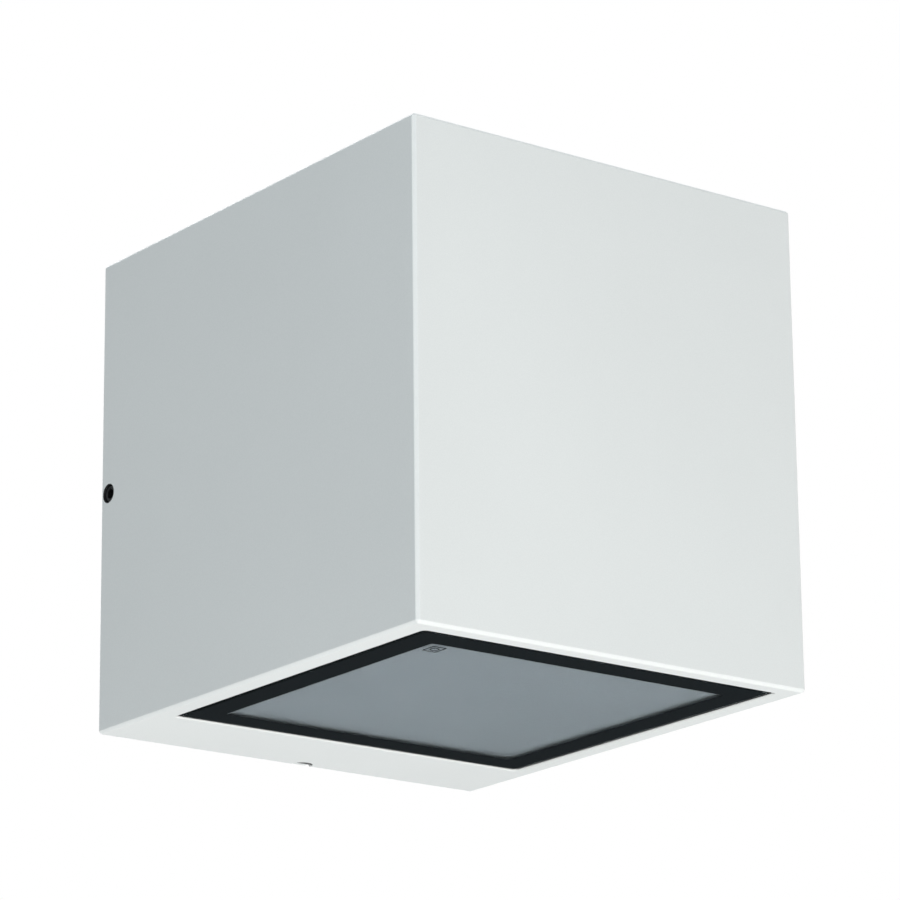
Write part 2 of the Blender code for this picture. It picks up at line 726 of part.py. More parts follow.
def make_reflector(materials, parent):
    throat_x = BOARD_HALF[0] + REFLECTOR_THROAT
    throat_y = BOARD_HALF[1] + REFLECTOR_THROAT
    mouth_x = DIFFUSER_HALF_X
    mouth_y = DIFFUSER_HALF_Y
    mouth_z = SEAT_Z + DIFFUSER_THICKNESS + GAP
    flange_top = PLATE_UNDERSIDE_Z - GAP
    flange_low = flange_top - REFLECTOR_FLANGE_THICKNESS

    def outline(half_x, half_y, height):
        return rounded_rectangle(half_x, half_y, WINDOW_CORNER, height)

    mesh = skin("reflector", (
        outline(mouth_x, mouth_y, mouth_z),
        outline(throat_x + REFLECTOR_WALL, throat_y + REFLECTOR_WALL, flange_low),
        outline(throat_x + REFLECTOR_FLANGE, throat_y + REFLECTOR_FLANGE, flange_low),
        outline(throat_x + REFLECTOR_FLANGE, throat_y + REFLECTOR_FLANGE, flange_top),
        outline(throat_x, throat_y, flange_top),
        outline(mouth_x - REFLECTOR_WALL, mouth_y - REFLECTOR_WALL, mouth_z),
    ), closed=True)
    reflector = add_object("reflector", mesh, (0, WINDOW_Y, 0), materials["white_plastic"], parent)
    holes = bmesh.new()
    for x, y in reflector_screw_points():
        add_rod(holes, (x, y, flange_low - BOSS_OVERLAP), (x, y, flange_top + BOSS_OVERLAP),
                SMALL_SCREW[0] + HOLE_MARGIN)
    cut(reflector, holes, "screw_hole")
    add_screws("reflector_screw", screw_mesh("flange_screw", SMALL_SCREW),
               [(x, y, flange_low - GAP) for x, y in reflector_screw_points()],
               -UP, materials["stainless"], parent)


# Driver

def make_driver(materials, parent):
    half_x, half_y = DRIVER_HALF
    top = DRIVER_FLOOR_Z + DRIVER_HEIGHT
    case = box_object("driver_case", (-half_x, WINDOW_Y - half_y, DRIVER_FLOOR_Z),
                      (half_x, WINDOW_Y + half_y, top), materials["white_plastic"], parent)
    hollow = bmesh.new()
    add_box(hollow,
            (DRIVER_WALL - half_x, WINDOW_Y - half_y + DRIVER_WALL, DRIVER_FLOOR_Z + DRIVER_WALL),
            (half_x - DRIVER_WALL, WINDOW_Y + half_y - DRIVER_WALL, top + DRIVER_WALL))
    cut(case, hollow, "hollow")

    extras = bmesh.new()
    ear_y = WINDOW_Y + DRIVER_EAR_OFFSET
    for side in (-1, 1):
        inner, outer = sorted((side * (half_x - DRIVER_WALL / 2), side * (half_x + DRIVER_EAR_LENGTH)))
        add_box(extras, (inner, ear_y - DRIVER_EAR_HALF_WIDTH, DRIVER_FLOOR_Z),
                (outer, ear_y + DRIVER_EAR_HALF_WIDTH, DRIVER_FLOOR_Z + DRIVER_EAR_THICKNESS))
        rib_x = side * DRIVER_RIB_X
        add_box(extras,
                (rib_x - DRIVER_RIB / 2, WINDOW_Y - half_y + DRIVER_WALL / 2,
                 DRIVER_FLOOR_Z + DRIVER_WALL / 2),
                (rib_x + DRIVER_RIB / 2, WINDOW_Y + half_y - DRIVER_WALL / 2, DRIVER_BOARD_Z - GAP))
    join(case, extras, "ear")

    holes = bmesh.new()
    for x, y in driver_screw_points():
        add_rod(holes, (x, y, PLATE_TOP_Z - BOSS_OVERLAP), (x, y, top), SMALL_SCREW[0] + HOLE_MARGIN)
    add_rod(holes, (GLAND_X, WINDOW_Y + half_y + BOSS_OVERLAP, DRIVER_CABLE_Z),
            (GLAND_X, WINDOW_Y + half_y - 2 * DRIVER_WALL, DRIVER_CABLE_Z), CABLE_RADIUS + HOLE_MARGIN)
    for x, _ in led_lead_points():
        add_rod(holes, (x, WINDOW_Y - half_y - BOSS_OVERLAP, DRIVER_LEAD_Z),
                (x, WINDOW_Y - half_y + 2 * DRIVER_WALL, DRIVER_LEAD_Z), WIRE_HOLE_RADIUS)
    cut(case, holes, "hole")
    add_screws("driver_screw", screw_mesh("ear_screw", SMALL_SCREW),
               [(x, y, DRIVER_FLOOR_Z + DRIVER_EAR_THICKNESS + GAP) for x, y in driver_screw_points()],
               UP, materials["stainless"], parent)

    box_object("driver_lid", (-half_x, WINDOW_Y - half_y, top + GAP),
               (half_x, WINDOW_Y + half_y, top + GAP + DRIVER_WALL),
               materials["white_plastic"], parent, rounding=DRIVER_WALL / 3)

    margin = DRIVER_WALL + DRIVER_BOARD_MARGIN
    board_top = DRIVER_BOARD_Z + DRIVER_BOARD_THICKNESS
    box_object("driver_board", (margin - half_x, WINDOW_Y - half_y + margin, DRIVER_BOARD_Z),
               (half_x - margin, WINDOW_Y + half_y - margin, board_top),
               materials["green_board"], parent)
    long, deep, high = TRANSFORMER_SIZE
    box_object("driver_transformer",
               (TRANSFORMER_X - long / 2, WINDOW_Y - deep / 2, board_top + GAP),
               (TRANSFORMER_X + long / 2, WINDOW_Y + deep / 2, board_top + GAP + high),
               materials["copper"], parent, rounding=DRIVER_WALL / 2)
    can = turned_mesh("driver_capacitor", (
        ("round", CAPACITOR_RADIUS * 0.9, 0),
        ("round", CAPACITOR_RADIUS, CAPACITOR_HEIGHT * 0.08),
        ("round", CAPACITOR_RADIUS, CAPACITOR_HEIGHT * 0.94),
        ("round", CAPACITOR_RADIUS * 0.9, CAPACITOR_HEIGHT),
    ), closed=False)
    add_object("driver_capacitor", can, (CAPACITOR_X, WINDOW_Y, board_top + GAP),
               materials["sleeve"], parent)


def make_led_leads(materials, parent):
    start_y = WINDOW_Y - DRIVER_HALF[1] + DRIVER_WALL / 2
    end_z = BOARD_UNDERSIDE_Z + GAP
    for (x, y), name, colour in zip(led_lead_points(), ("red", "black"), ("red", "black")):
        add_lead(f"led_lead_{name}", (
            (x, start_y, DRIVER_LEAD_Z),
            (x, start_y - LED_LEAD_STRAIGHT, DRIVER_LEAD_Z),
            (x, y + LED_LEAD_BEND, DRIVER_LEAD_Z - LED_LEAD_SAG),
            (x, y + GAP, DRIVER_LEAD_Z - LED_LEAD_BEND - LED_LEAD_SAG),
            (x, y, PLATE_TOP_Z),
            (x, y, PLATE_UNDERSIDE_Z),
            (x, y, end_z),
        ), WIRE_RADIUS, materials[colour], parent)


# Rear cover, its gasket and what is fixed to it

def make_rear_cover(materials, parent):
    half_x, half_z = SKIRT_X - GAP, SKIRT_Z - GAP
    cover = box_object("rear_cover", (-half_x, COVER_FRONT_Y, -half_z), (half_x, COVER_BACK_Y, half_z),
                       materials["aluminium"], parent)
    back = COVER_BACK_Y + ENTRY_BOX_HEIGHT
    additions = bmesh.new()
    add_box(additions, (ENTRY_BOX_X[0], COVER_FRONT_Y + BOSS_OVERLAP, ENTRY_BOX_Z[0]),
            (ENTRY_BOX_X[1], back, ENTRY_BOX_Z[1]))
    for x, z in (EARTH_POINT, block_screw_point()):
        add_rod(additions, (x, COVER_FRONT_Y + BOSS_OVERLAP, z),
                (x, COVER_FRONT_Y - NUT_BOSS_LENGTH, z), NUT_BOSS_RADIUS)
    join(cover, additions, "boss")

    wall = ENTRY_BOX_WALL
    hollow = bmesh.new()
    add_box(hollow, (ENTRY_BOX_X[0] + wall, COVER_FRONT_Y - BOSS_OVERLAP, ENTRY_BOX_Z[0] + wall),
            (ENTRY_BOX_X[1] - wall, back - wall, ENTRY_BOX_Z[1] - wall))
    cut(cover, hollow, "cable_hollow")

    holes = bmesh.new()
    for x, z in cover_screw_points():
        add_rod(holes, (x, COVER_FRONT_Y - BOSS_OVERLAP, z), (x, COVER_BACK_Y + BOSS_OVERLAP, z),
                COVER_SCREW[0] + HOLE_MARGIN)
    for x, z in (EARTH_POINT, block_screw_point()):
        add_rod(holes, (x, COVER_FRONT_Y - NUT_BOSS_LENGTH + NUT_BOSS_FLOOR, z),
                (x, COVER_BACK_Y + BOSS_OVERLAP, z), LONG_SMALL_SCREW[0] + HOLE_MARGIN)
    add_rod(holes, (GLAND_X, GLAND_Y, ENTRY_BOX_Z[0] - BOSS_OVERLAP),
            (GLAND_X, GLAND_Y, ENTRY_BOX_Z[0] + wall + BOSS_OVERLAP), GLAND_THREAD + GAP, ROUND_STEPS)
    add_rod(holes, (VENT_POINT[0], COVER_FRONT_Y - BOSS_OVERLAP, VENT_POINT[1]),
            (VENT_POINT[0], COVER_BACK_Y + BOSS_OVERLAP, VENT_POINT[1]), VENT_STEM + GAP, ROUND_STEPS)
    cut(cover, holes, "hole")

    add_screws("cover_screw", screw_mesh("rear_screw", COVER_SCREW),
               [(x, COVER_BACK_Y + GAP, z) for x, z in cover_screw_points()],
               TO_WALL, materials["stainless"], parent)
    make_cover_gasket(materials["silicone"], parent)
    make_vent(materials["nylon"], parent)


def make_cover_gasket(silicone, parent):
    half_x, half_z = SKIRT_X - 2 * GAP, SKIRT_Z - 2 * GAP
    front = COVER_SEAT_Y + GAP
    gasket = box_object("rear_gasket", (-half_x, front, -half_z), (half_x, COVER_GASKET_BACK_Y, half_z),
                        silicone, parent)
    # The opening is a cross, so that a pad is left round the screw in each corner.
    pad = COVER_BOSS - COVER_SCREW_INSET / 2
    tall = bmesh.new()
    add_box(tall, (-CHAMBER_X + pad, front - BOSS_OVERLAP, CHAMBER_FLOOR_Z),
            (CHAMBER_X - pad, COVER_SEAT_Y + SEAL_WIDTH, CHAMBER_TOP_Z))
    cut(gasket, tall, "tall_opening")
    wide = bmesh.new()
    add_box(wide, (-CHAMBER_X, front - BOSS_OVERLAP, CHAMBER_FLOOR_Z + pad),
            (CHAMBER_X, COVER_SEAT_Y + SEAL_WIDTH, CHAMBER_TOP_Z - pad))
    cut(gasket, wide, "wide_opening")
    holes = bmesh.new()
    for x, z in cover_screw_points():
        add_rod(holes, (x, front - BOSS_OVERLAP, z), (x, COVER_SEAT_Y + SEAL_WIDTH, z),
                COVER_SCREW[0] + HOLE_MARGIN)
    cut(gasket, holes, "screw_hole")


def make_vent(nylon, parent):
    mesh = turned_mesh("breather_vent", (
        ("round", VENT_STEM, -VENT_STEM_LENGTH),
        ("round", VENT_STEM, 0),
        ("hex", VENT_HEX, 0),
        ("hex", VENT_HEX, VENT_HEX_THICKNESS),
        ("round", VENT_CAP, VENT_HEX_THICKNESS),
        ("round", VENT_CAP, VENT_HEX_THICKNESS + VENT_CAP_THICKNESS * 0.7),
        ("round", VENT_CAP * 0.9, VENT_HEX_THICKNESS + VENT_CAP_THICKNESS),
    ), closed=False)
    vent = add_object("breather_vent", mesh, (VENT_POINT[0], COVER_BACK_Y + GAP, VENT_POINT[1]),
                      nylon, parent)
    aim(vent, TO_WALL)


def make_gland(materials, parent):
    """The gland hangs from the floor of the cover's cable box; heights are from that floor."""
    place = (GLAND_X, GLAND_Y, ENTRY_BOX_Z[0])
    flange = -GAP - GLAND_FLANGE_THICKNESS
    stub = flange - GLAND_STUB_LENGTH
    body = turned_mesh("gland_body", (
        ("round", GLAND_BORE, stub),
        ("round", GLAND_STUB, stub),
        ("round", GLAND_STUB, flange),
        ("hex", GLAND_HEX, flange),
        ("hex", GLAND_HEX, -GAP),
        ("round", GLAND_THREAD, -GAP),
        ("round", GLAND_THREAD, GLAND_THREAD_LENGTH),
        ("round", GLAND_BORE, GLAND_THREAD_LENGTH),
    ), closed=True)
    add_object("gland_body", body, place, materials["nylon"], parent)

    seal_top = stub - GAP
    seal = turned_mesh("gland_seal", (
        ("round", CABLE_RADIUS + GAP, seal_top - GLAND_SEAL_LENGTH),
        ("round", GLAND_STUB - GAP, seal_top - GLAND_SEAL_LENGTH),
        ("round", GLAND_STUB - GAP, seal_top),
        ("round", CABLE_RADIUS + GAP, seal_top),
    ), closed=True)
    add_object("gland_seal", seal, place, materials["silicone"], parent)

    nut_top = flange - GAP
    nut_bottom = nut_top - GLAND_NUT_LENGTH
    shoulder = seal_top - GLAND_SEAL_LENGTH - GAP
    nut = turned_mesh("gland_nut", (
        ("round", GLAND_STUB + GAP, nut_top),
        ("hex", GLAND_HEX, nut_top),
        ("hex", GLAND_HEX, nut_bottom + GLAND_NUT_ROUNDING),
        ("round", GLAND_STUB, nut_bottom),
        ("round", GLAND_BORE, nut_bottom),
        ("round", GLAND_BORE, shoulder - GAP),
        ("round", GLAND_STUB + GAP, shoulder),
    ), closed=True)
    add_object("gland_nut", nut, place, materials["nylon"], parent)

    low = ENTRY_BOX_WALL + GAP
    locknut = turned_mesh("gland_locknut", (
        ("round", GLAND_THREAD + GAP, low),
        ("hex", GLAND_HEX, low),
        ("hex", GLAND_HEX, low + GLAND_LOCKNUT_THICKNESS),
        ("round", GLAND_THREAD + GAP, low + GLAND_LOCKNUT_THICKNESS),
    ), closed=True)
    add_object("gland_locknut", locknut, place, materials["nylon"], parent)


# Cable from the driver, and the wires to the terminal block

def make_supply_cable(materials, parent):
    start_y = WINDOW_Y + DRIVER_HALF[1] - DRIVER_WALL / 2
    route = [(GLAND_X, start_y, DRIVER_CABLE_Z)]
    route += [(GLAND_X, y, z) for y, z in CABLE_ROUTE]
    route.append((GLAND_X, GLAND_Y, SHEATH_END_Z))
    add_lead("supply_cable", route, CABLE_RADIUS, materials["cable"], parent)

    port_z = BLOCK_Z[1]
    starts = ((-WIRE_SPREAD, -WIRE_SPREAD / 2), (0, WIRE_SPREAD), (WIRE_SPREAD, -WIRE_SPREAD / 2))
    for pole, (dx, dy), name, colour in zip(pole_positions(), starts, ("live", "earth", "neutral"),
                                            ("brown", "earth", "blue")):
        add_lead(f"wire_{name}", (
            (GLAND_X + dx, GLAND_Y + dy, SHEATH_END_Z - GAP),
            (GLAND_X + dx, GLAND_Y + dy, SHEATH_END_Z - WIRE_STRAIGHT),
            ((GLAND_X + dx + pole) / 2, (GLAND_Y + dy + WIRE_PORT_Y) / 2, (SHEATH_END_Z + port_z) / 2),
            (pole, WIRE_PORT_Y, port_z + WIRE_STRAIGHT),
            (pole, WIRE_PORT_Y, port_z - WIRE_IN_PORT),
        ), WIRE_RADIUS, materials[colour], parent)


# Terminal block with its levers

def block_screw_point():
    return GLAND_X - BLOCK_HALF_WIDTH - BLOCK_EAR / 2, (BLOCK_Z[0] + BLOCK_Z[1]) / 2


def bond_port_point():
    return GLAND_X + BLOCK_HALF_WIDTH, WIRE_PORT_Y, EARTH_POINT[1]


def make_terminal_block(materials, parent):
    base = COVER_BACK_Y + GAP
    face = base + BLOCK_THICKNESS
    left, right = GLAND_X - BLOCK_HALF_WIDTH, GLAND_X + BLOCK_HALF_WIDTH
    block = box_object("terminal_block", (left, base, BLOCK_Z[0]), (right, face, BLOCK_Z[1]),
                       materials["grey_plastic"], parent)
    ear_x, ear_z = block_screw_point()
    ear = bmesh.new()
    add_box(ear, (left - BLOCK_EAR, base, ear_z - BLOCK_EAR / 2),
            (left + BOSS_OVERLAP, base + BLOCK_EAR_THICKNESS, ear_z + BLOCK_EAR / 2))
    join(block, ear, "ear")

    pockets = bmesh.new()
    clear = LEVER_ROOT + GAP
    tip_z = LEVER_PIVOT_Z - LEVER_LENGTH - LEVER_NOSE - GAP
    for pole in pole_positions():
        add_box(pockets, (pole - LEVER_HALF_WIDTH - GAP, LEVER_PIVOT_Y - clear, tip_z),
                (pole + LEVER_HALF_WIDTH + GAP, face + BOSS_OVERLAP, LEVER_PIVOT_Z + clear))
    cut(block, pockets, "lever_pocket")

    ports = bmesh.new()
    for pole in pole_positions():
        add_rod(ports, (pole, WIRE_PORT_Y, BLOCK_Z[1] - WIRE_PORT_DEPTH),
                (pole, WIRE_PORT_Y, BLOCK_Z[1] + BOSS_OVERLAP), WIRE_HOLE_RADIUS)
        add_rod(ports, (pole, MAINS_PORT_Y, BLOCK_Z[0] - BOSS_OVERLAP),
                (pole, MAINS_PORT_Y, BLOCK_Z[0] + MAINS_PORT_DEPTH), MAINS_PORT_RADIUS)
    add_rod(ports, (ear_x, base - BOSS_OVERLAP, ear_z),
            (ear_x, base + BLOCK_EAR_THICKNESS + BOSS_OVERLAP, ear_z),
            LONG_SMALL_SCREW[0] + HOLE_MARGIN)
    port_x, port_y, bond_z = bond_port_point()
    add_rod(ports, (port_x + BOSS_OVERLAP, port_y, bond_z), (port_x - BOND_PORT_DEPTH, port_y, bond_z),
            WIRE_HOLE_RADIUS)
    cut(block, ports, "port")
    add_screws("terminal_screw", screw_mesh("block_screw", LONG_SMALL_SCREW),
               [(ear_x, base + BLOCK_EAR_THICKNESS + GAP, ear_z)],
               TO_WALL, materials["stainless"], parent)

    for pole, name in zip(pole_positions(), ("live", "earth", "neutral")):
        make_lever(f"terminal_lever_{name}", pole, materials["orange"], parent)


def make_lever(name, pole, orange, parent):
    """The side view of the lever, extruded across its width; its origin is on its pivot."""
    outline = []
    for step in range(7):
        angle = math.pi * step / 6
        outline.append((LEVER_ROOT * math.cos(angle), LEVER_ROOT * math.sin(angle)))
    under = LEVER_ROOT - LEVER_THICKNESS
    outline += [
        (under, -LEVER_LENGTH - LEVER_NOSE),
        (LEVER_ROOT + LEVER_NOSE_RISE, -LEVER_LENGTH - LEVER_NOSE),
        (LEVER_ROOT + LEVER_NOSE_RISE, -LEVER_LENGTH - LEVER_NOSE / 2),
        (LEVER_ROOT, -LEVER_LENGTH + LEVER_NOSE / 2),
    ]
    outline.insert(7, (under, -LEVER_ROOT))
    bm = bmesh.new()
    side = bm.faces.new([bm.verts.new((-LEVER_HALF_WIDTH, y, z)) for y, z in outline])
    grown = bmesh.ops.extrude_face_region(bm, geom=[side])["geom"]
    moved = [item for item in grown if isinstance(item, bmesh.types.BMVert)]
    bmesh.ops.translate(bm, verts=moved, vec=2 * LEVER_HALF_WIDTH * RIGHT)
    add_object(name, mesh_from(bm, name), (pole, LEVER_PIVOT_Y, LEVER_PIVOT_Z), orange, parent)


# Earth bond from the terminal block to the rear cover

def make_earth_bond(materials, parent):
    x, z = EARTH_POINT
    front = COVER_BACK_Y + GAP
    back = front + EARTH_RING_THICKNESS
    mesh = turned_mesh("earth_ring", (
        ("round", LONG_SMALL_SCREW[0] + HOLE_MARGIN, 0),
        ("round", EARTH_RING_RADIUS, 0),
        ("round", EARTH_RING_RADIUS, EARTH_RING_THICKNESS),
        ("round", LONG_SMALL_SCREW[0] + HOLE_MARGIN, EARTH_RING_THICKNESS),
    ), closed=True)
    eyelet = add_object("earth_ring", mesh, (x, front, z), materials["brass"], parent)
    aim(eyelet, TO_WALL)
    tongue = bmesh.new()
    add_box(tongue, (x - EARTH_TONGUE_LENGTH, front, z - EARTH_TONGUE_HALF),
            (x - EARTH_RING_RADIUS + BOSS_OVERLAP, back, z + EARTH_TONGUE_HALF))
    join(eyelet, tongue, "tongue")
    add_screws("earth_screw", screw_mesh("ring_screw", LONG_SMALL_SCREW), [(x, back + GAP, z)],
               TO_WALL, materials["brass"], parent)

    port_x, port_y, port_z = bond_port_point()
    end_y = back + GAP + WIRE_RADIUS
    add_lead("wire_bond", (
        (port_x - BOND_PORT_DEPTH + GAP, port_y, port_z),
        (port_x + BOND_STRAIGHT, port_y, port_z),
        (port_x + BOND_BEND, (port_y + end_y) / 2, port_z),
        (x - EARTH_TONGUE_LENGTH + BOND_STRAIGHT / 2, end_y, port_z),
        (x - EARTH_RING_RADIUS - 2 * GAP, end_y, port_z),
    ), WIRE_RADIUS, materials["earth"], parent)


# Wall bracket, gasket and grommet

def add_slots(bm, grow, front, back):
    """Cutters for the upper slot, which runs across, and the lower one, which runs up."""
    straight = SLOT_HALF_LENGTH - SLOT_HALF_WIDTH
    radius = SLOT_HALF_WIDTH + grow
    for z, along in ((UPPER_SLOT_Z, RIGHT), (LOWER_SLOT_Z, UP)):
        slot = []
        for step in range(SMALL_STEPS + 2):
            end = 1 if step <= SMALL_STEPS / 2 else -1
            turn = (step if end > 0 else step - 1) * 2 * math.pi / SMALL_STEPS - math.pi / 2
            across = along.cross(TO_WALL)
            spot = along * (end * straight + radius * math.cos(turn)) + across * radius * math.sin(turn)
            slot.append(bm.verts.new(spot + z * UP + front * TO_WALL))
        face = bm.faces.new(slot)
        grown = bmesh.ops.extrude_face_region(bm, geom=[face])["geom"]
        moved = [item for item in grown if isinstance(item, bmesh.types.BMVert)]
        bmesh.ops.translate(bm, verts=moved, vec=(back - front) * TO_WALL)


def make_wall_bracket(materials, parent):
    bracket = box_object("wall_bracket", (-BRACKET_X, BRACKET_FRONT_Y, -BRACKET_Z),
                         (BRACKET_X, BRACKET_BACK_Y, BRACKET_Z), materials["paint"], parent)
    flanges = bmesh.new()
    middle_y = (BRACKET_FRONT_Y + BRACKET_BACK_Y) / 2
    thick = BRACKET_THICKNESS
    for side in (-1, 1):
        inner, outer = sorted((side * (BRACKET_X - thick), side * BRACKET_X))
        add_box(flanges, (inner, BRACKET_BACK_Y - TAB_REACH, -TAB_HALF_HEIGHT),
                (outer, middle_y, TAB_HALF_HEIGHT))
        inner, outer = sorted((side * LOWER_FLANGE_START, side * FLANGE_HALF_WIDTH))
        add_box(flanges, (inner, BRACKET_BACK_Y - FLANGE_REACH, -BRACKET_Z),
                (outer, middle_y, thick - BRACKET_Z))
    add_box(flanges, (-FLANGE_HALF_WIDTH, BRACKET_BACK_Y - FLANGE_REACH, BRACKET_Z - thick),
            (FLANGE_HALF_WIDTH, middle_y, BRACKET_Z))
    add_box(flanges, (DRAIN_X - FOOT_HALF_WIDTH, FOOT_FRONT_Y, -HALF_Z + GAP),
            (DRAIN_X + FOOT_HALF_WIDTH, -WALL_CLEARANCE, FOOT_ROOT - BRACKET_Z))
    join(bracket, flanges, "flange")

    front, back = BRACKET_FRONT_Y - BOSS_OVERLAP, BRACKET_BACK_Y + BOSS_OVERLAP
    holes = bmesh.new()
    add_slots(holes, 0, front, back)
    add_rod(holes, (0, front, CABLE_HOLE_Z), (0, back, CABLE_HOLE_Z), CABLE_HOLE_RADIUS, ROUND_STEPS)
    cut(bracket, holes, "hole")

    gasket = box_object("wall_gasket",
                        (-BRACKET_X + GASKET_INSET, -GASKET_THICKNESS, -BRACKET_Z + GASKET_INSET),
                        (BRACKET_X - GASKET_INSET, 0, BRACKET_Z - GASKET_INSET),
                        materials["foam"], parent)
    holes = bmesh.new()
    front, back = -GASKET_THICKNESS - BOSS_OVERLAP, BOSS_OVERLAP
    add_slots(holes, GASKET_CLEARANCE, front, back)
    add_rod(holes, (0, front, CABLE_HOLE_Z), (0, back, CABLE_HOLE_Z),
            GROMMET_FLANGE + GASKET_CLEARANCE, ROUND_STEPS)
    cut(gasket, holes, "hole")
    make_grommet(materials["silicone"], parent)


def make_grommet(silicone, parent):
    rear = -GASKET_THICKNESS + GROMMET_FLANGE_THICKNESS
    front = BRACKET_FRONT_Y - GAP
    groove = CABLE_HOLE_RADIUS - GAP
    mesh = turned_mesh("cable_grommet", (
        ("round", GROMMET_BORE, rear),
        ("round", GROMMET_FLANGE, rear),
        ("round", GROMMET_FLANGE, BRACKET_BACK_Y + GAP),
        ("round", groove, BRACKET_BACK_Y + GAP),
        ("round", groove, front),
        ("round", GROMMET_FLANGE, front),
        ("round", GROMMET_FLANGE - GAP, front - GROMMET_FLANGE_THICKNESS),
        ("round", GROMMET_BORE, front - GROMMET_FLANGE_THICKNESS),
    ), closed=True)
    grommet = add_object("cable_grommet", mesh, (0, 0, CABLE_HOLE_Z), silicone, parent)
    aim(grommet, TO_WALL)


# Set screws

def make_grub_screws(black_steel, parent):
    """The tip bears on the bracket tab at the local origin; the socket faces outwards along local +Z."""
    mesh = turned_mesh("grub_screw", (
        ("round", GRUB_TIP_RADIUS, 0),
        ("round", GRUB_RADIUS, GRUB_RADIUS - GRUB_TIP_RADIUS),
        ("round", GRUB_RADIUS, GRUB_LENGTH - GAP),
        ("round", GRUB_RADIUS - GAP, GRUB_LENGTH),
        ("hex", GRUB_SOCKET, GRUB_LENGTH),
        ("hex", GRUB_SOCKET, GRUB_LENGTH - GRUB_SOCKET_DEPTH),
    ), closed=False)
    mesh.materials.append(black_steel)
    for side, name in ((-1, "left"), (1, "right")):
        screw = add_object(f"grub_screw_{name}", mesh, (side * GRUB_BOSS_X, GRUB_Y, 0), parent=parent)
        aim(screw, side * RIGHT)


def main():
    clear_scene()
    materials = make_materials()
    wall_side = add_empty("wall_side")
    lamp_head = add_empty("lamp_head", parent=wall_side)
    make_wall_bracket(materials, wall_side)
    make_housing(materials["paint"], lamp_head)
    make_window(materials, lamp_head)
    make_light_engine(materials, lamp_head)
    make_driver(materials, lamp_head)
    make_led_leads(materials, lamp_head)
    make_rear_cover(materials, lamp_head)
    make_gland(materials, lamp_head)
    make_supply_cable(materials, lamp_head)
    make_terminal_block(materials, lamp_head)
    make_earth_bond(materials, lamp_head)
    make_grub_screws(materials["black_steel"], lamp_head)


main()
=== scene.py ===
import math

import bmesh
import bpy
from mathutils import Matrix, Vector


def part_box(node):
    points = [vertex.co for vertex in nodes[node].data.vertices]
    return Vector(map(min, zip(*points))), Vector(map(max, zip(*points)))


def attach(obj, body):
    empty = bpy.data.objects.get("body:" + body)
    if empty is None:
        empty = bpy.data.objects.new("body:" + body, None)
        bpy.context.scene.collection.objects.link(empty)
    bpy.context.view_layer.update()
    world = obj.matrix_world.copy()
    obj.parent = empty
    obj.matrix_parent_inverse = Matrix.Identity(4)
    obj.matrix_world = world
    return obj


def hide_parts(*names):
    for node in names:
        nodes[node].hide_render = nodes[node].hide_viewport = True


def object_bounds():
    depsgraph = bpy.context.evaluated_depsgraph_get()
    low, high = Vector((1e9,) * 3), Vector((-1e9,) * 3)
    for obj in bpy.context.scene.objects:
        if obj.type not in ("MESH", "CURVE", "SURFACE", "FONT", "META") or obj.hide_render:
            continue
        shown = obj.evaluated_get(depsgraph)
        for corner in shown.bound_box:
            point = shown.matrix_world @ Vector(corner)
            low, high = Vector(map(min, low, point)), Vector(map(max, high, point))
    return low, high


# White cube wall light: painted cast body, flush glass below, everything behind it on the wall side.
# Metres, +X right, +Y into the wall, +Z up.

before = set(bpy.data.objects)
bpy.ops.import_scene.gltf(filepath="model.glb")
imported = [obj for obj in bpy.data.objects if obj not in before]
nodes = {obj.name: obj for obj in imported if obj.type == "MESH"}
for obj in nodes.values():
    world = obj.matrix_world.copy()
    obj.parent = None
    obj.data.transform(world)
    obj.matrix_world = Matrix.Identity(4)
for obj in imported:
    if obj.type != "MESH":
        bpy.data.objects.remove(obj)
cadLow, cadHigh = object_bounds()
up = Vector((0, 0, 1))
right = Vector((1, 0, 0))
toWall = Vector((0, 1, 0))
headBody = "lamp_head"
print("frame loaded,", len(nodes), "nodes")


def startMaterial(name):
    material = bpy.data.materials.new(name)
    material.use_nodes = True
    tree = material.node_tree
    return material, tree, tree.nodes["Principled BSDF"]


def place(tree, stretch=(1, 1, 1)):
    # object space, so nothing slides when the piece moves
    coords = tree.nodes.new("ShaderNodeTexCoord")
    mapping = tree.nodes.new("ShaderNodeMapping")
    mapping.inputs["Scale"].default_value = stretch
    tree.links.new(coords.outputs["Object"], mapping.inputs["Vector"])
    return mapping.outputs["Vector"]


def noise(tree, where, scale, detail=2.0, roughness=0.5):
    node = tree.nodes.new("ShaderNodeTexNoise")
    node.inputs["Scale"].default_value = scale
    node.inputs["Detail"].default_value = detail
    node.inputs["Roughness"].default_value = roughness
    tree.links.new(where, node.inputs["Vector"])
    return node.outputs["Fac"]


def cells(tree, where, scale):
    node = tree.nodes.new("ShaderNodeTexVoronoi")
    node.inputs["Scale"].default_value = scale
    tree.links.new(where, node.inputs["Vector"])
    return node.outputs["Distance"]


def spread(tree, value, low, high, fromLow=0.3, fromHigh=0.7):
    node = tree.nodes.new("ShaderNodeMapRange")
    node.inputs["From Min"].default_value = fromLow
    node.inputs["From Max"].default_value = fromHigh
    node.inputs["To Min"].default_value = low
    node.inputs["To Max"].default_value = high
    tree.links.new(value, node.inputs["Value"])
    return node.outputs["Result"]


def blendColours(tree, value, first, second):
    node = tree.nodes.new("ShaderNodeMix")
    node.data_type = "RGBA"
    node.inputs["A"].default_value = (*first, 1)
    node.inputs["B"].default_value = (*second, 1)
    tree.links.new(value, node.inputs["Factor"])
    return node.outputs["Result"]


def addBump(tree, shader, height, strength, distance, under=None):
    node = tree.nodes.new("ShaderNodeBump")
    node.inputs["Strength"].default_value = strength
    node.inputs["Distance"].default_value = distance
    tree.links.new(height, node.inputs["Height"])
    if under is not None:
        tree.links.new(under, node.inputs["Normal"])
    tree.links.new(node.outputs["Normal"], shader.inputs["Normal"])
    return node.outputs["Normal"]


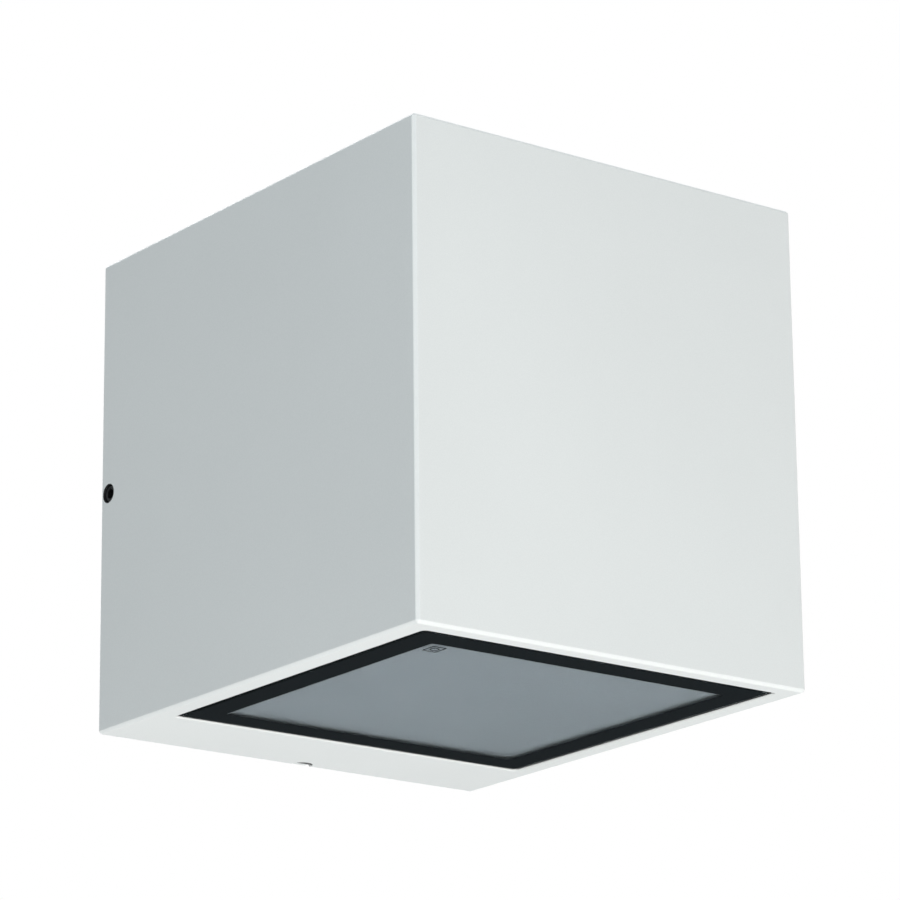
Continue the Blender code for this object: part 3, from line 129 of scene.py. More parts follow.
def shade(colour, by):
    return tuple(min(1.0, channel * by) for channel in colour)


paintLook = {
    "colour": (0.800, 0.822, 0.818),
    "shadow": 0.975,          # darkest drift of the colour
    "cloud": 14.0,
    "grain": 2600.0,          # fine-texture powder
    "roughness": (0.43, 0.54),
    "grainHeight": 0.000022,
    "grainStrength": 0.5,
    "fleck": (0.965, 0.967, 0.97),
    "fleckBetween": (0.25, 0.75),
    "orangePeel": 950.0,
    "peelHeight": 0.00004,
    "peelStrength": 0.45,
    "specular": 0.42,
}


def powderCoat():
    look = paintLook
    material, tree, shader = startMaterial("white powder coat")
    where = place(tree)
    drift = noise(tree, where, look["cloud"], detail=3)
    tint = blendColours(tree, spread(tree, drift, 0, 1), look["colour"],
                        shade(look["colour"], look["shadow"]))
    speckle = noise(tree, where, look["grain"], detail=1)
    mix = tree.nodes.new("ShaderNodeMix")
    mix.data_type = "RGBA"
    mix.blend_type = "MULTIPLY"
    mix.inputs["Factor"].default_value = 1.0
    tree.links.new(tint, mix.inputs["A"])
    fleck = blendColours(tree, spread(tree, speckle, 0, 1, *look["fleckBetween"]), (1, 1, 1), look["fleck"])
    tree.links.new(fleck, mix.inputs["B"])
    tree.links.new(mix.outputs["Result"], shader.inputs["Base Color"])
    tree.links.new(spread(tree, speckle, *look["roughness"]), shader.inputs["Roughness"])
    shader.inputs["Specular IOR Level"].default_value = look["specular"]
    waves = noise(tree, where, look["orangePeel"], detail=2)
    peel = addBump(tree, shader, waves, look["peelStrength"], look["peelHeight"])
    addBump(tree, shader, speckle, look["grainStrength"], look["grainHeight"], peel)
    return material


def plainFinish(name, colour, roughness, metallic=0.0, grain=900.0, height=0.00001, cloud=30.0,
                drift=0.9, stretch=(1, 1, 1), specular=0.5, coat=0.0, strength=0.6):
    # one recipe for moulded, rubbed or plated surfaces: a slow drift of colour, a fine grain, a bump
    material, tree, shader = startMaterial(name)
    where = place(tree, stretch)
    slow = noise(tree, where, cloud, detail=3)
    fine = noise(tree, where, grain, detail=3, roughness=0.6)
    tree.links.new(blendColours(tree, spread(tree, slow, 0, 1), colour, shade(colour, drift)),
                   shader.inputs["Base Color"])
    tree.links.new(spread(tree, fine, *roughness), shader.inputs["Roughness"])
    shader.inputs["Metallic"].default_value = metallic
    shader.inputs["Specular IOR Level"].default_value = specular
    shader.inputs["Coat Weight"].default_value = coat
    addBump(tree, shader, fine, strength, height)
    return material


glassLook = {
    "tint": (0.93, 0.965, 0.96),
    "smear": 60.0,
    "roughness": (0.015, 0.05),
    "bending": 1.45,
    "specular": 0.2,
    "groundColours": ((0.72, 0.79, 0.79), (0.80, 0.86, 0.86)),
    "groundGrain": 4000.0,
    "groundRoughness": (0.4, 0.65),
    "groundStrength": 0.8,
    "groundHeight": 0.00002,
}


def clearGlass():
    look = glassLook
    material, tree, shader = startMaterial("clear toughened glass")
    where = place(tree)
    smear = noise(tree, where, look["smear"], detail=3)
    tree.links.new(spread(tree, smear, *look["roughness"]), shader.inputs["Roughness"])
    shader.inputs["Base Color"].default_value = (*look["tint"], 1)
    shader.inputs["Transmission Weight"].default_value = 1.0
    shader.inputs["IOR"].default_value = look["bending"]
    shader.inputs["Specular IOR Level"].default_value = look["specular"]
    return material


def groundGlass():
    look = glassLook
    material, tree, shader = startMaterial("ground glass edge")
    where = place(tree)
    fine = noise(tree, where, look["groundGrain"], detail=2)
    tree.links.new(blendColours(tree, fine, *look["groundColours"]), shader.inputs["Base Color"])
    tree.links.new(spread(tree, fine, *look["groundRoughness"]), shader.inputs["Roughness"])
    addBump(tree, shader, fine, look["groundStrength"], look["groundHeight"])
    return material


foamLook = {
    "pore": (0.035, 0.035, 0.038),
    "skin": (0.11, 0.11, 0.115),
    "poreScale": 1500.0,
    "poreBetween": (0.1, 0.6),
    "poreStrength": 1.0,
    "poreDepth": 0.0002,
    "roughness": (0.95, 0.8),
}


def foamFinish():
    look = foamLook
    material, tree, shader = startMaterial("grey closed cell foam")
    where = place(tree)
    pores = cells(tree, where, look["poreScale"])
    hollow = spread(tree, pores, 0, 1, *look["poreBetween"])
    tree.links.new(blendColours(tree, hollow, look["pore"], look["skin"]), shader.inputs["Base Color"])
    tree.links.new(spread(tree, pores, *look["roughness"]), shader.inputs["Roughness"])
    addBump(tree, shader, pores, look["poreStrength"], look["poreDepth"])
    return material


stripeLook = {
    "green": (0.03, 0.22, 0.03),
    "yellow": (0.75, 0.62, 0.03),
    "scale": 180.0,
    "wobble": 0.6,
    "edge": (0.48, 0.52),
    "grain": 1200.0,
    "roughness": (0.34, 0.45),
    "grainStrength": 0.3,
    "grainHeight": 0.00001,
}


def stripedInsulation():
    # green with a yellow stripe that follows the wire down
    look = stripeLook
    material, tree, shader = startMaterial("green and yellow insulation")
    where = place(tree)
    wave = tree.nodes.new("ShaderNodeTexWave")
    wave.bands_direction = "X"
    wave.inputs["Scale"].default_value = look["scale"]
    wave.inputs["Distortion"].default_value = look["wobble"]
    tree.links.new(where, wave.inputs["Vector"])
    stripe = spread(tree, wave.outputs["Fac"], 0, 1, *look["edge"])
    tree.links.new(blendColours(tree, stripe, look["green"], look["yellow"]), shader.inputs["Base Color"])
    fine = noise(tree, where, look["grain"])
    tree.links.new(spread(tree, fine, *look["roughness"]), shader.inputs["Roughness"])
    addBump(tree, shader, fine, look["grainStrength"], look["grainHeight"])
    return material


finishes = {
    "paint": powderCoat(),
    "glass": clearGlass(),
    "groundGlass": groundGlass(),
    "ink": plainFinish("black ceramic ink", (0.003, 0.006, 0.008), (0.45, 0.6), grain=2500.0,
                       height=0.000004, specular=0.12),
    "satin": plainFinish("satin opal sheet", (0.675, 0.718, 0.784), (0.5, 0.6), grain=3000.0,
                         height=0.000006, cloud=45.0, drift=0.96, specular=0.2),
    "silicone": plainFinish("black silicone", (0.012, 0.013, 0.014), (0.45, 0.6), grain=700.0,
                            height=0.00003, specular=0.3),
    "foam": foamFinish(),
    "stainless": plainFinish("stainless steel", (0.56, 0.56, 0.55), (0.2, 0.36), metallic=1.0,
                             grain=1500.0, height=0.000008, cloud=120.0, drift=0.85),
    "blackOxide": plainFinish("black oxide steel", (0.055, 0.056, 0.058), (0.28, 0.42), metallic=0.8,
                              grain=1500.0, height=0.000008, cloud=120.0, drift=0.8),
    "tappedHole": plainFinish("dark tapped hole", (0.030, 0.031, 0.033), (0.4, 0.55), metallic=0.5,
                              grain=1500.0),
    "cast": plainFinish("bare cast aluminium", (0.62, 0.63, 0.64), (0.42, 0.6), metallic=1.0,
                        grain=700.0, height=0.00006, cloud=35.0, drift=0.86),
    "sheet": plainFinish("rolled aluminium sheet", (0.70, 0.71, 0.72), (0.26, 0.42), metallic=1.0,
                         grain=240.0, cloud=25.0, stretch=(1, 30, 30)),
    "whitePlastic": plainFinish("white moulded plastic", (0.84, 0.84, 0.82), (0.3, 0.42), grain=1800.0,
                                drift=0.96),
    "board": plainFinish("white solder mask", (0.80, 0.81, 0.79), (0.3, 0.42), drift=0.95),
    "phosphor": plainFinish("yellow phosphor", (0.86, 0.62, 0.10), (0.12, 0.2), grain=2600.0, drift=0.85,
                            coat=0.6),
    "pad": plainFinish("pink gap pad", (0.58, 0.33, 0.36), (0.7, 0.85), grain=1600.0, height=0.00006),
    "greyPlastic": plainFinish("grey moulded plastic", (0.25, 0.26, 0.27), (0.42, 0.56), grain=1600.0,
                               height=0.00002),
    "nylon": plainFinish("black nylon", (0.022, 0.022, 0.023), (0.4, 0.55), grain=1600.0, height=0.00002),
    "circuit": plainFinish("green circuit board", (0.015, 0.14, 0.05), (0.3, 0.42), grain=500.0),
    "winding": plainFinish("transformer winding", (0.55, 0.25, 0.10), (0.3, 0.5), metallic=0.6,
                           grain=300.0, height=0.00008, cloud=60.0, drift=0.7, stretch=(1, 1, 12)),
    "sleeve": plainFinish("capacitor sleeve", (0.02, 0.03, 0.08), (0.3, 0.4)),
    "cable": plainFinish("black cable sheath", (0.018, 0.018, 0.019), (0.5, 0.66), grain=1300.0,
                         height=0.00003, specular=0.35),
    "brown": plainFinish("brown insulation", (0.13, 0.05, 0.02), (0.34, 0.46), grain=1200.0),
    "blue": plainFinish("blue insulation", (0.02, 0.10, 0.40), (0.34, 0.46), grain=1200.0),
    "earth": stripedInsulation(),
    "red": plainFinish("red insulation", (0.50, 0.02, 0.02), (0.34, 0.46), grain=1200.0),
    "black": plainFinish("black insulation", (0.015, 0.015, 0.015), (0.34, 0.46), grain=1200.0),
    "orange": plainFinish("orange lever plastic", (0.80, 0.19, 0.015), (0.34, 0.48), grain=1600.0,
                          height=0.00002),
    "brass": plainFinish("tinned brass", (0.70, 0.66, 0.52), (0.24, 0.4), metallic=1.0, cloud=90.0,
                         drift=0.85),
}
print("finishes ready,", len(finishes))


def newObject(name, mesh, *materials):
    thing = bpy.data.objects.new(name, mesh)
    bpy.context.scene.collection.objects.link(thing)
    for material in materials:
        mesh.materials.append(material)
    return thing


def finishMesh(bm, name, sharpAngle=35):
    bmesh.ops.recalc_face_normals(bm, faces=bm.faces)
    mesh = bpy.data.meshes.new(name)
    bm.to_mesh(mesh)
    bm.free()
    mesh.shade_smooth()
    mesh.set_sharp_from_angle(angle=math.radians(sharpAngle))
    return mesh


def addBox(bm, low, high):
    low, high = Vector(low), Vector(high)
    where = Matrix.Translation((low + high) / 2) @ Matrix.Diagonal((*(high - low), 1))
    return bmesh.ops.create_cube(bm, size=1, matrix=where)["verts"]


def addRod(bm, start, end, radius, steps=32):
    start, end = Vector(start), Vector(end)
    along = end - start
    where = Matrix.Translation((start + end) / 2) @ up.rotation_difference(along).to_matrix().to_4x4()
    bmesh.ops.create_cone(bm, cap_ends=True, segments=steps, radius1=radius, radius2=radius,
                          depth=along.length, matrix=where)


def outlineRadius(shape, size, angle):
    if shape == "hex":
        return size / math.cos(angle % (math.pi / 3) - math.pi / 6)
    return size


def turnedRings(profile, steps):
    rings = []
    for shape, size, height in profile:
        ring = []
        for step in range(steps):
            angle = 2 * math.pi * step / steps
            radius = outlineRadius(shape, size, angle)
            ring.append(Vector((radius * math.cos(angle), radius * math.sin(angle), height)))
        rings.append(ring)
    return rings


def roundedOutline(halfX, halfY, corner, height, steps=6):
    points = []
    for quarter, (sideX, sideY) in enumerate(((1, 1), (-1, 1), (-1, -1), (1, -1))):
        middle = Vector((sideX * (halfX - corner), sideY * (halfY - corner), height))
        for step in range(steps + 1):
            angle = (quarter + step / steps) * math.pi / 2
            points.append(middle + corner * Vector((math.cos(angle), math.sin(angle), 0)))
    return points


def stretchSkin(bm, rings, closed=False):
    # faces between neighbouring rings; a closed skin joins the last ring to the first,
    # any other gets a flat face over each end
    loops = [[bm.verts.new(point) for point in ring] for ring in rings]
    pairs = list(zip(loops, loops[1:]))
    if closed:
        pairs.append((loops[-1], loops[0]))
    else:
        bm.faces.new(loops[0])
        bm.faces.new(loops[-1])
    bands = []
    for lower, upper in pairs:
        bands.append([bm.faces.new((lower[here], lower[(here + 1) % len(lower)],
                                    upper[(here + 1) % len(lower)], upper[here]))
                      for here in range(len(lower))])
    return bands


def aim(thing, spot, direction):
    thing.matrix_world = Matrix.Translation(spot) @ up.rotation_difference(direction).to_matrix().to_4x4()


def boolean(thing, operation, bm, label, *materials):
    # a cutter with a finish of its own leaves it on the faces it cuts
    tool = newObject(label, finishMesh(bm, label), *materials)
    step = thing.modifiers.new(label, "BOOLEAN")
    step.operation = operation
    step.material_mode = "TRANSFER"
    step.object = tool
    step.solver = "EXACT"
    return tool


def bake(thing, tools, sharpAngle=30):
    # applies the modifiers, drops the cutters and keeps large flats flat
    bpy.context.view_layer.update()
    seen = bpy.context.evaluated_depsgraph_get()
    mesh = bpy.data.meshes.new_from_object(thing.evaluated_get(seen))
    thing.modifiers.clear()
    thing.data = mesh
    mesh.shade_smooth()
    mesh.set_sharp_from_angle(angle=math.radians(sharpAngle))
    for tool in tools:
        bpy.data.objects.remove(tool, do_unlink=True)
    weights = thing.modifiers.new("flat faces stay flat", "WEIGHTED_NORMAL")
    weights.keep_sharp = True


def middleOf(node):
    low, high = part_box(node)
    return (low + high) / 2


bodyMake = {
    "chamfer": 0.0009,
    "softening": 0.00022,   # round of the chamfer's own edges under the paint
    "softSteps": 3,
    "fit": 0.0003,          # air left between the body and what sits in it
    "overcut": 0.002,       # how far a cutter runs past the face it opens
    "skirt": 0.0027,
    "sideWall": 0.0055,
    "frontWall": 0.003,
    "chamberFloor": -0.0655,
    "seatDepth": 0.0059,
    "seatCorner": 0.0015,
    "seatChamfer": 0.00035,
    "apertureInset": 0.0068,
    "coverBoss": 0.011,
    "coverBossLength": 0.0095,
    "postRadius": 0.0045,
    "postHoleDepth": 0.010,
    "screwHole": 0.00205,
    "grubBossHeight": 0.016,
    "grubBossDepth": 0.012,
    "grubHole": 0.00295,
    "grubHoleSteps": 48,
    "holeChamfer": 0.00008,
    "drainX": 0.0034,
    "drainRadius": 0.0035,
    "drainDepth": 0.005,
    "drainSteps": 16,
    "castRound": 0.0015,
    # sizes of the dark piece of painted shade in the drain notch
    "shadeBack": 0.0028,
    "shadeSteps": 20,
    "shadeRecess": 0.00008,
    "shadeGap": 0.00005,
}


def makeBody():
    make = bodyMake
    low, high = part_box("housing")
    sealLow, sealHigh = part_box("lens_seal")
    grubLow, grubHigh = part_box("grub_screw_left")
    fit, past = make["fit"], make["overcut"]
    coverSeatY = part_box("rear_gasket")[0].y - fit
    bm = bmesh.new()
    addBox(bm, low, high)
    body = newObject("lampBody", finishMesh(bm, "lampBody"), finishes["paint"])
    for label, width, steps in (("chamfer", make["chamfer"], 1),
                                ("softened", make["softening"], make["softSteps"])):
        edges = body.modifiers.new(label, "BEVEL")
        edges.width = width
        edges.segments = steps
    tools = []

    def cut(shape, label, *materials):
        tools.append(boolean(body, "DIFFERENCE", shape, label, *materials))

    skirtX = high.x - make["skirt"]
    skirtZ = high.z - make["skirt"]
    chamberX = high.x - make["sideWall"]
    chamberTop = high.z - make["sideWall"]

    recess = bmesh.new()
    stretchSkin(recess, [[Vector((point.x, y, point.y)) for point in
                          roundedOutline(skirtX, skirtZ, make["castRound"], 0)] for y in (coverSeatY, past)])
    cut(recess, "rearRecess")
    chamber = bmesh.new()
    middleZ = (chamberTop + make["chamberFloor"]) / 2
    halfZ = (chamberTop - make["chamberFloor"]) / 2
    stretchSkin(chamber, [[Vector((point.x, y, point.y + middleZ)) for point in
                           roundedOutline(chamberX, halfZ, make["castRound"], 0)]
                          for y in (low.y + make["frontWall"], coverSeatY + past)])
    cut(chamber, "lampChamber")

    # the seat's mouth is chamfered, which gives the rim its thin bright line
    seatX = (sealHigh.x - sealLow.x) / 2 + fit
    seatHalfY = (sealHigh.y - sealLow.y) / 2 + fit
    windowY = (sealHigh.y + sealLow.y) / 2
    seatTop = low.z + make["seatDepth"]
    chamfer = make["seatChamfer"]
    seat = bmesh.new()
    stretchSkin(seat, [[point + windowY * toWall for point in
                        roundedOutline(seatX + grow, seatHalfY + grow, make["seatCorner"] + grow, height)]
                       for grow, height in ((0, seatTop), (0, low.z + chamfer), (chamfer, low.z),
                                            (chamfer, low.z - past))])
    cut(seat, "glassSeat")
    apertureX = seatX - make["apertureInset"]
    apertureY = seatHalfY - make["apertureInset"]
    aperture = bmesh.new()
    stretchSkin(aperture, [[point + windowY * toWall for point in
                            roundedOutline(apertureX, apertureY, make["castRound"], height)]
                           for height in (seatTop - past / 2, make["chamberFloor"] + past)])
    cut(aperture, "lightAperture")

    bosses = bmesh.new()
    bossSize = make["coverBoss"]
    bossFront = coverSeatY - make["coverBossLength"]
    grubX = grubHigh.x
    for side in (-1, 1):
        inner, outer = sorted((side * (chamberX - bossSize), side * (chamberX + past / 2)))
        addBox(bosses, (inner, bossFront, chamberTop - bossSize), (outer, coverSeatY, chamberTop + past / 2))
        addBox(bosses, (inner, bossFront, make["chamberFloor"] - past / 2),
               (outer, coverSeatY, make["chamberFloor"] + bossSize))
        near, far = sorted((side * -grubX, side * (skirtX + past / 2)))
        addBox(bosses, (near, high.y - make["grubBossDepth"], -make["grubBossHeight"] / 2),
               (far, high.y - make["chamfer"], make["grubBossHeight"] / 2))
    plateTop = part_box("heat_plate")[1].z
    posts = [middleOf(f"heat_plate_screw_{number}") for number in range(1, 5)]
    for post in posts:
        addRod(bosses, (post.x, post.y, plateTop + fit), (post.x, post.y, chamberTop + past / 2),
               make["postRadius"])
    tools.append(boolean(body, "UNION", bosses, "castBosses"))

    holes = bmesh.new()
    for number in range(1, 5):
        screw = middleOf(f"cover_screw_{number}")
        addRod(holes, (screw.x, coverSeatY + past, screw.z), (screw.x, bossFront + past / 2, screw.z),
               make["screwHole"])
    for post in posts:
        addRod(holes, (post.x, post.y, plateTop - past),
               (post.x, post.y, plateTop + make["postHoleDepth"]), make["screwHole"])
    grubY = (grubLow.y + grubHigh.y) / 2
    rim = make["holeChamfer"]
    for side in (-1, 1):
        bore = bmesh.new()
        stretchSkin(bore, turnedRings((("round", make["grubHole"], -past),
                                       ("round", make["grubHole"], high.x + grubX - rim),
                                       ("round", make["grubHole"] + rim, high.x + grubX),
                                       ("round", make["grubHole"] + rim, high.x + grubX + past)),
                                      make["grubHoleSteps"]))
        turn = Matrix.Translation((side * -grubX, grubY, 0))
        turn = turn @ up.rotation_difference(side * right).to_matrix().to_4x4()
        bmesh.ops.transform(bore, matrix=turn, verts=bore.verts)
        cut(bore, f"grubHole{side}", finishes["tappedHole"])
    cut(holes, "screwHoles")

    # drain notch: straight sides and a round end, right through the lower skirt
    drain = bmesh.new()
    endY = high.y - make["drainDepth"] + make["drainRadius"]
    notch = []
    for step in range(make["drainSteps"] + 1):
        angle = math.pi + math.pi * step / make["drainSteps"]
        notch.append((make["drainX"] + make["drainRadius"] * math.cos(angle),
                      endY + make["drainRadius"] * math.sin(angle)))
    notch += [(make["drainX"] + make["drainRadius"], past), (make["drainX"] - make["drainRadius"], past)]
    stretchSkin(drain, [[Vector((x, y, height)) for x, y in notch]
                        for height in (low.z - past, past - skirtZ)])
    cut(drain, "drainNotch")
    bake(body, tools)
    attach(body, headBody)
    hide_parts("housing")


def makeDrainShade():
    # painted shade: a dark piece in the foam finish fills the front of the notch, ahead of the bracket's
    # foot, where the notch only has shade
    make = bodyMake
    low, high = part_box("housing")
    radius = make["drainRadius"] - make["shadeGap"]
    middleY = high.y - make["drainDepth"] + make["drainRadius"]
    back = high.y - make["shadeBack"]
    first = math.asin((middleY - back) / radius)
    bm = bmesh.new()
    outline = []
    for step in range(make["shadeSteps"] + 1):
        angle = math.pi + first + (math.pi - 2 * first) * step / make["shadeSteps"]
        outline.append((make["drainX"] + radius * math.cos(angle), middleY + radius * math.sin(angle)))
    stretchSkin(bm, [[Vector((x, y, height)) for x, y in outline]
                     for height in (low.z + make["shadeRecess"], low.z + make["skirt"] - make["shadeGap"])])
    foam = newObject("drainShade", finishMesh(bm, "drainShade"), finishes["foam"])
    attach(foam, headBody)


makeBody()
# dark piece of painted shade in the drain notch
makeDrainShade()
print("body made")


windowMake = {
    "corner": 0.0014,
    "sharpest": 0.0003,
    "arris": 0.00025,
    "margin": 0.0005,         # clear strip between the print and the arris
    "borderWidth": 0.0098,
    "borderCorner": 0.0008,
    "inkGap": 0.00002,
    "inkThickness": 0.00006,
    "lipWidth": 0.0042,       # silicone between the glass and the seat
    "sheetStep": 0.0048,      # the satin sheet's wide step, right behind the glass
    "sheetGap": 0.0002,
    "bedGap": 0.0003,
    "jointReach": 0.00025,    # how far the silicone stands out past its box, almost to the body
    "glassGap": 0.00005,
    "beadDip": 0.00025,
    "beadHollow": 0.00055,    # depth of the trough between these shares of the joint's width
    "beadShares": (0.35, 0.65),
    "markHalf": (0.0024, 0.0028),
    "markInset": (0.0046, 0.0050),
    "markCorner": 0.0004,
    "markLine": 0.00042,
    "ringShare": 0.6,
    "ringSteps": 40,
}


def makeWindow():
    make = windowMake
    low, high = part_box("lens_glass")
    sealLow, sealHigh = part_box("lens_seal")
    middle = (low + high) / 2
    halfX, halfY = (high.x - low.x) / 2, (high.y - low.y) / 2
    arris = make["arris"]
    inkHigh = low.z - make["inkGap"]
    inkLow = inkHigh - make["inkThickness"]

    def outline(inset, height, corner=make["corner"]):
        corner = max(corner - inset, make["sharpest"])
        return [point + Vector((middle.x, middle.y, 0))
                for point in roundedOutline(halfX - inset, halfY - inset, corner, height)]

    bm = bmesh.new()
    bands = stretchSkin(bm, [outline(arris, low.z), outline(0, low.z + arris), outline(0, high.z - arris),
                             outline(arris, high.z)])
    # the outer arris is printed over, the side and the inner arris are ground
    for band, finish in zip(bands, (2, 1, 1)):
        for face in band:
            face.material_index = finish
    glass = newObject("frontGlass", finishMesh(bm, "frontGlass", sharpAngle=20),
                      finishes["glass"], finishes["groundGlass"], finishes["ink"])
    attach(glass, headBody)
    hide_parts("lens_glass")

    # fired border on the outer face
    outer, inner = arris + make["margin"], make["borderWidth"]
    innerCorner = inner + make["borderCorner"]
    bm = bmesh.new()
    stretchSkin(bm, [outline(outer, inkLow), outline(outer, inkHigh), outline(inner, inkHigh, innerCorner),
                     outline(inner, inkLow, innerCorner)], closed=True)
    border = newObject("firedBorder", finishMesh(bm, "firedBorder"), finishes["ink"])
    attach(border, headBody)

    # silicone fills the joint round the pane, a little hollow between its edges
    seat = (sealHigh.x - sealLow.x) / 2 - halfX + make["jointReach"]
    bedLow, lip, pane = high.z + make["bedGap"], make["lipWidth"], -make["glassGap"]
    edge, hollow = low.z + make["beadDip"], low.z + make["beadHollow"]
    near, far = make["beadShares"]
    bm = bmesh.new()
    stretchSkin(bm, [outline(-seat, edge), outline(-seat, sealHigh.z), outline(lip, sealHigh.z),
                     outline(lip, bedLow), outline(pane, bedLow), outline(pane, edge),
                     outline(-seat * near, hollow), outline(-seat * far, hollow)], closed=True)
    bead = newObject("siliconeBead", finishMesh(bm, "siliconeBead", sharpAngle=50), finishes["silicone"])
    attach(bead, headBody)
    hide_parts("lens_seal")

    # satin sheet: a wide step against the glass, then up through the aperture
    sheetLow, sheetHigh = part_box("diffuser")
    throat = sheetLow.z - make["sheetGap"]
    throatHalf = ((sheetHigh.x - sheetLow.x) / 2, (sheetHigh.y - sheetLow.y) / 2)
    bm = bmesh.new()
    wide = [outline(make["sheetStep"], height) for height in (high.z + make["sheetGap"], throat)]
    narrow = [[point + Vector((middle.x, middle.y, 0))
               for point in roundedOutline(*throatHalf, make["corner"], height)]
              for height in (throat, sheetHigh.z)]
    stretchSkin(bm, wide + narrow)
    sheet = newObject("satinSheet", finishMesh(bm, "satinSheet"), finishes["satin"])
    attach(sheet, headBody)
    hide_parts("diffuser")

    # plain frame and ring in the front corner of the clear field
    halfMark, line = make["markHalf"], make["markLine"]
    bm = bmesh.new()
    stretchSkin(bm, [roundedOutline(halfMark[0] - inset, halfMark[1] - inset, make["markCorner"], height)
                     for inset, height in ((0, inkLow), (0, inkHigh), (line, inkHigh), (line, inkLow))],
                closed=True)
    ring = halfMark[0] * make["ringShare"]
    ringProfile = (("round", ring - line, inkLow), ("round", ring, inkLow), ("round", ring, inkHigh),
                   ("round", ring - line, inkHigh))
    stretchSkin(bm, turnedRings(ringProfile, make["ringSteps"]), closed=True)
    bmesh.ops.translate(bm, verts=bm.verts, vec=(low.x + inner + make["markInset"][0],
                                                 low.y + inner + make["markInset"][1], 0))
    mark = newObject("ringMark", finishMesh(bm, "ringMark"), finishes["ink"])
    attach(mark, headBody)


makeWindow()
print("window made")


grubMake = {
    "threadDepth": 0.00045,
    "pitch": 0.001,
    "crest": (0.45, 0.58),    # where a thread's flat crest lies along the pitch
    "cone": 0.0008,
    "cup": (0.45, 0.62, 0.72),    # radii of the cup point, times the screw's own
    "cupDepth": 0.0004,
    "lastLand": 0.0006,
    "endChamfer": 0.00035,
    "socket": 0.0015,
    "socketMouth": 1.28,      # times the socket's size
    "socketWall": 0.00014,
    "socketDepth": 0.0024,
    "socketTip": (0.5, 0.0029),    # share of the socket's size, and depth
    "steps": 48,
    "wornRim": -5,            # the band at the end whose black has rubbed off
}


def makeGrubScrew(node, side):
    make = grubMake
    low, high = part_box(node)
    length = high.x - low.x
    radius = (high.z - low.z) / 2
    socket, pitch, chamfer = make["socket"], make["pitch"], make["endChamfer"]
    root = radius - make["threadDepth"]
    inner, middle, outer = (radius * share for share in make["cup"])
    profile = [("round", inner, make["cupDepth"]), ("round", middle, 0.0), ("round", outer, 0.0),
               ("round", root, make["cone"])]
    height = make["cone"]
    while height + pitch < length - make["cupDepth"]:
        profile += [("round", radius, height + pitch * share) for share in make["crest"]]
        profile.append(("round", root, height + pitch))
        height += pitch
    tipShare, tipDepth = make["socketTip"]
    profile += [("round", radius, length - make["lastLand"]), ("round", radius, length - chamfer),
                ("round", radius - chamfer, length), ("round", socket * make["socketMouth"], length),
                ("hex", socket, length - make["socketWall"]), ("hex", socket, length - make["socketDepth"]),
                ("round", socket * tipShare, length - tipDepth)]
    bm = bmesh.new()
    bands = stretchSkin(bm, turnedRings(profile, make["steps"]))
    for face in bands[make["wornRim"]]:
        face.material_index = 1
    name = node + "_threaded"
    screw = newObject(name, finishMesh(bm, name), finishes["blackOxide"], finishes["stainless"])
    aim(screw, Vector((low.x if side > 0 else high.x, (low.y + high.y) / 2, (low.z + high.z) / 2)),
        side * right)
    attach(screw, f"{'right' if side > 0 else 'left'}_grub_screw")
    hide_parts(node)


makeGrubScrew("grub_screw_left", -1)
makeGrubScrew("grub_screw_right", 1)
print("set screws made")


keptFinishes = {
    "wall_bracket": "paint", "wall_gasket": "foam", "cable_grommet": "silicone",
    "reflector": "whitePlastic", "led_board": "board", "thermal_pad": "pad", "heat_plate": "sheet",
    "driver_case": "whitePlastic", "driver_lid": "whitePlastic", "driver_board": "circuit",
    "driver_transformer": "winding", "driver_capacitor": "sleeve", "led_lead_red": "red",
    "led_lead_black": "black", "rear_gasket": "silicone", "rear_cover": "cast", "gland_body": "nylon",
    "gland_locknut": "nylon", "gland_seal": "silicone", "gland_nut": "nylon", "supply_cable": "cable",
    "wire_live": "brown", "wire_earth": "earth", "wire_neutral": "blue", "wire_bond": "earth",
    "terminal_block": "greyPlastic", "earth_ring": "brass", "earth_screw": "brass", "breather_vent": "nylon",
}


def finishOf(name):
    if name in keptFinishes:
        return keptFinishes[name]
    if name.startswith("terminal_lever"):
        return "orange"
    if name.startswith("led_") and name[4:].isdigit():
        return "phosphor"
    return "stainless"


softEdges = {
    "wall_bracket": 0.0006, "rear_cover": 0.0006, "driver_case": 0.0006, "driver_lid": 0.0005,
    "terminal_block": 0.00035, "wall_gasket": 0.0003, "rear_gasket": 0.0003, "heat_plate": 0.0004,
    "reflector": 0.0004, "gland_body": 0.0004, "gland_nut": 0.0005,
    "gland_locknut": 0.0004, "breather_vent": 0.0003, "driver_transformer": 0.0008,
}
leverEdge = 0.00025
softSteps = 3
smoothBelow = 32    # degrees
flatWithin = 0.5    # degrees
weldReach = 0.000005


def smoothShading():
    # shades a piece smooth, with crisp edges where its faces turn sharply
    group = bpy.data.node_groups.new("smooth shading", "GeometryNodeTree")
    group.interface.new_socket("Geometry", in_out="INPUT", socket_type="NodeSocketGeometry")
    group.interface.new_socket("Geometry", in_out="OUTPUT", socket_type="NodeSocketGeometry")
    entry = group.nodes.new("NodeGroupInput")
    leave = group.nodes.new("NodeGroupOutput")
    faces = group.nodes.new("GeometryNodeSetShadeSmooth")
    edges = group.nodes.new("GeometryNodeSetShadeSmooth")
    edges.domain = "EDGE"
    edges.inputs["Shade Smooth"].default_value = False
    angle = group.nodes.new("GeometryNodeInputMeshEdgeAngle")
    steep = group.nodes.new("FunctionNodeCompare")
    steep.inputs["B"].default_value = math.radians(smoothBelow)
    group.links.new(angle.outputs["Unsigned Angle"], steep.inputs["A"])
    group.links.new(steep.outputs["Result"], edges.inputs["Selection"])
    group.links.new(entry.outputs["Geometry"], faces.inputs["Geometry"])
    group.links.new(faces.outputs["Geometry"], edges.inputs["Geometry"])
    group.links.new(edges.outputs["Geometry"], leave.inputs["Geometry"])
    return group


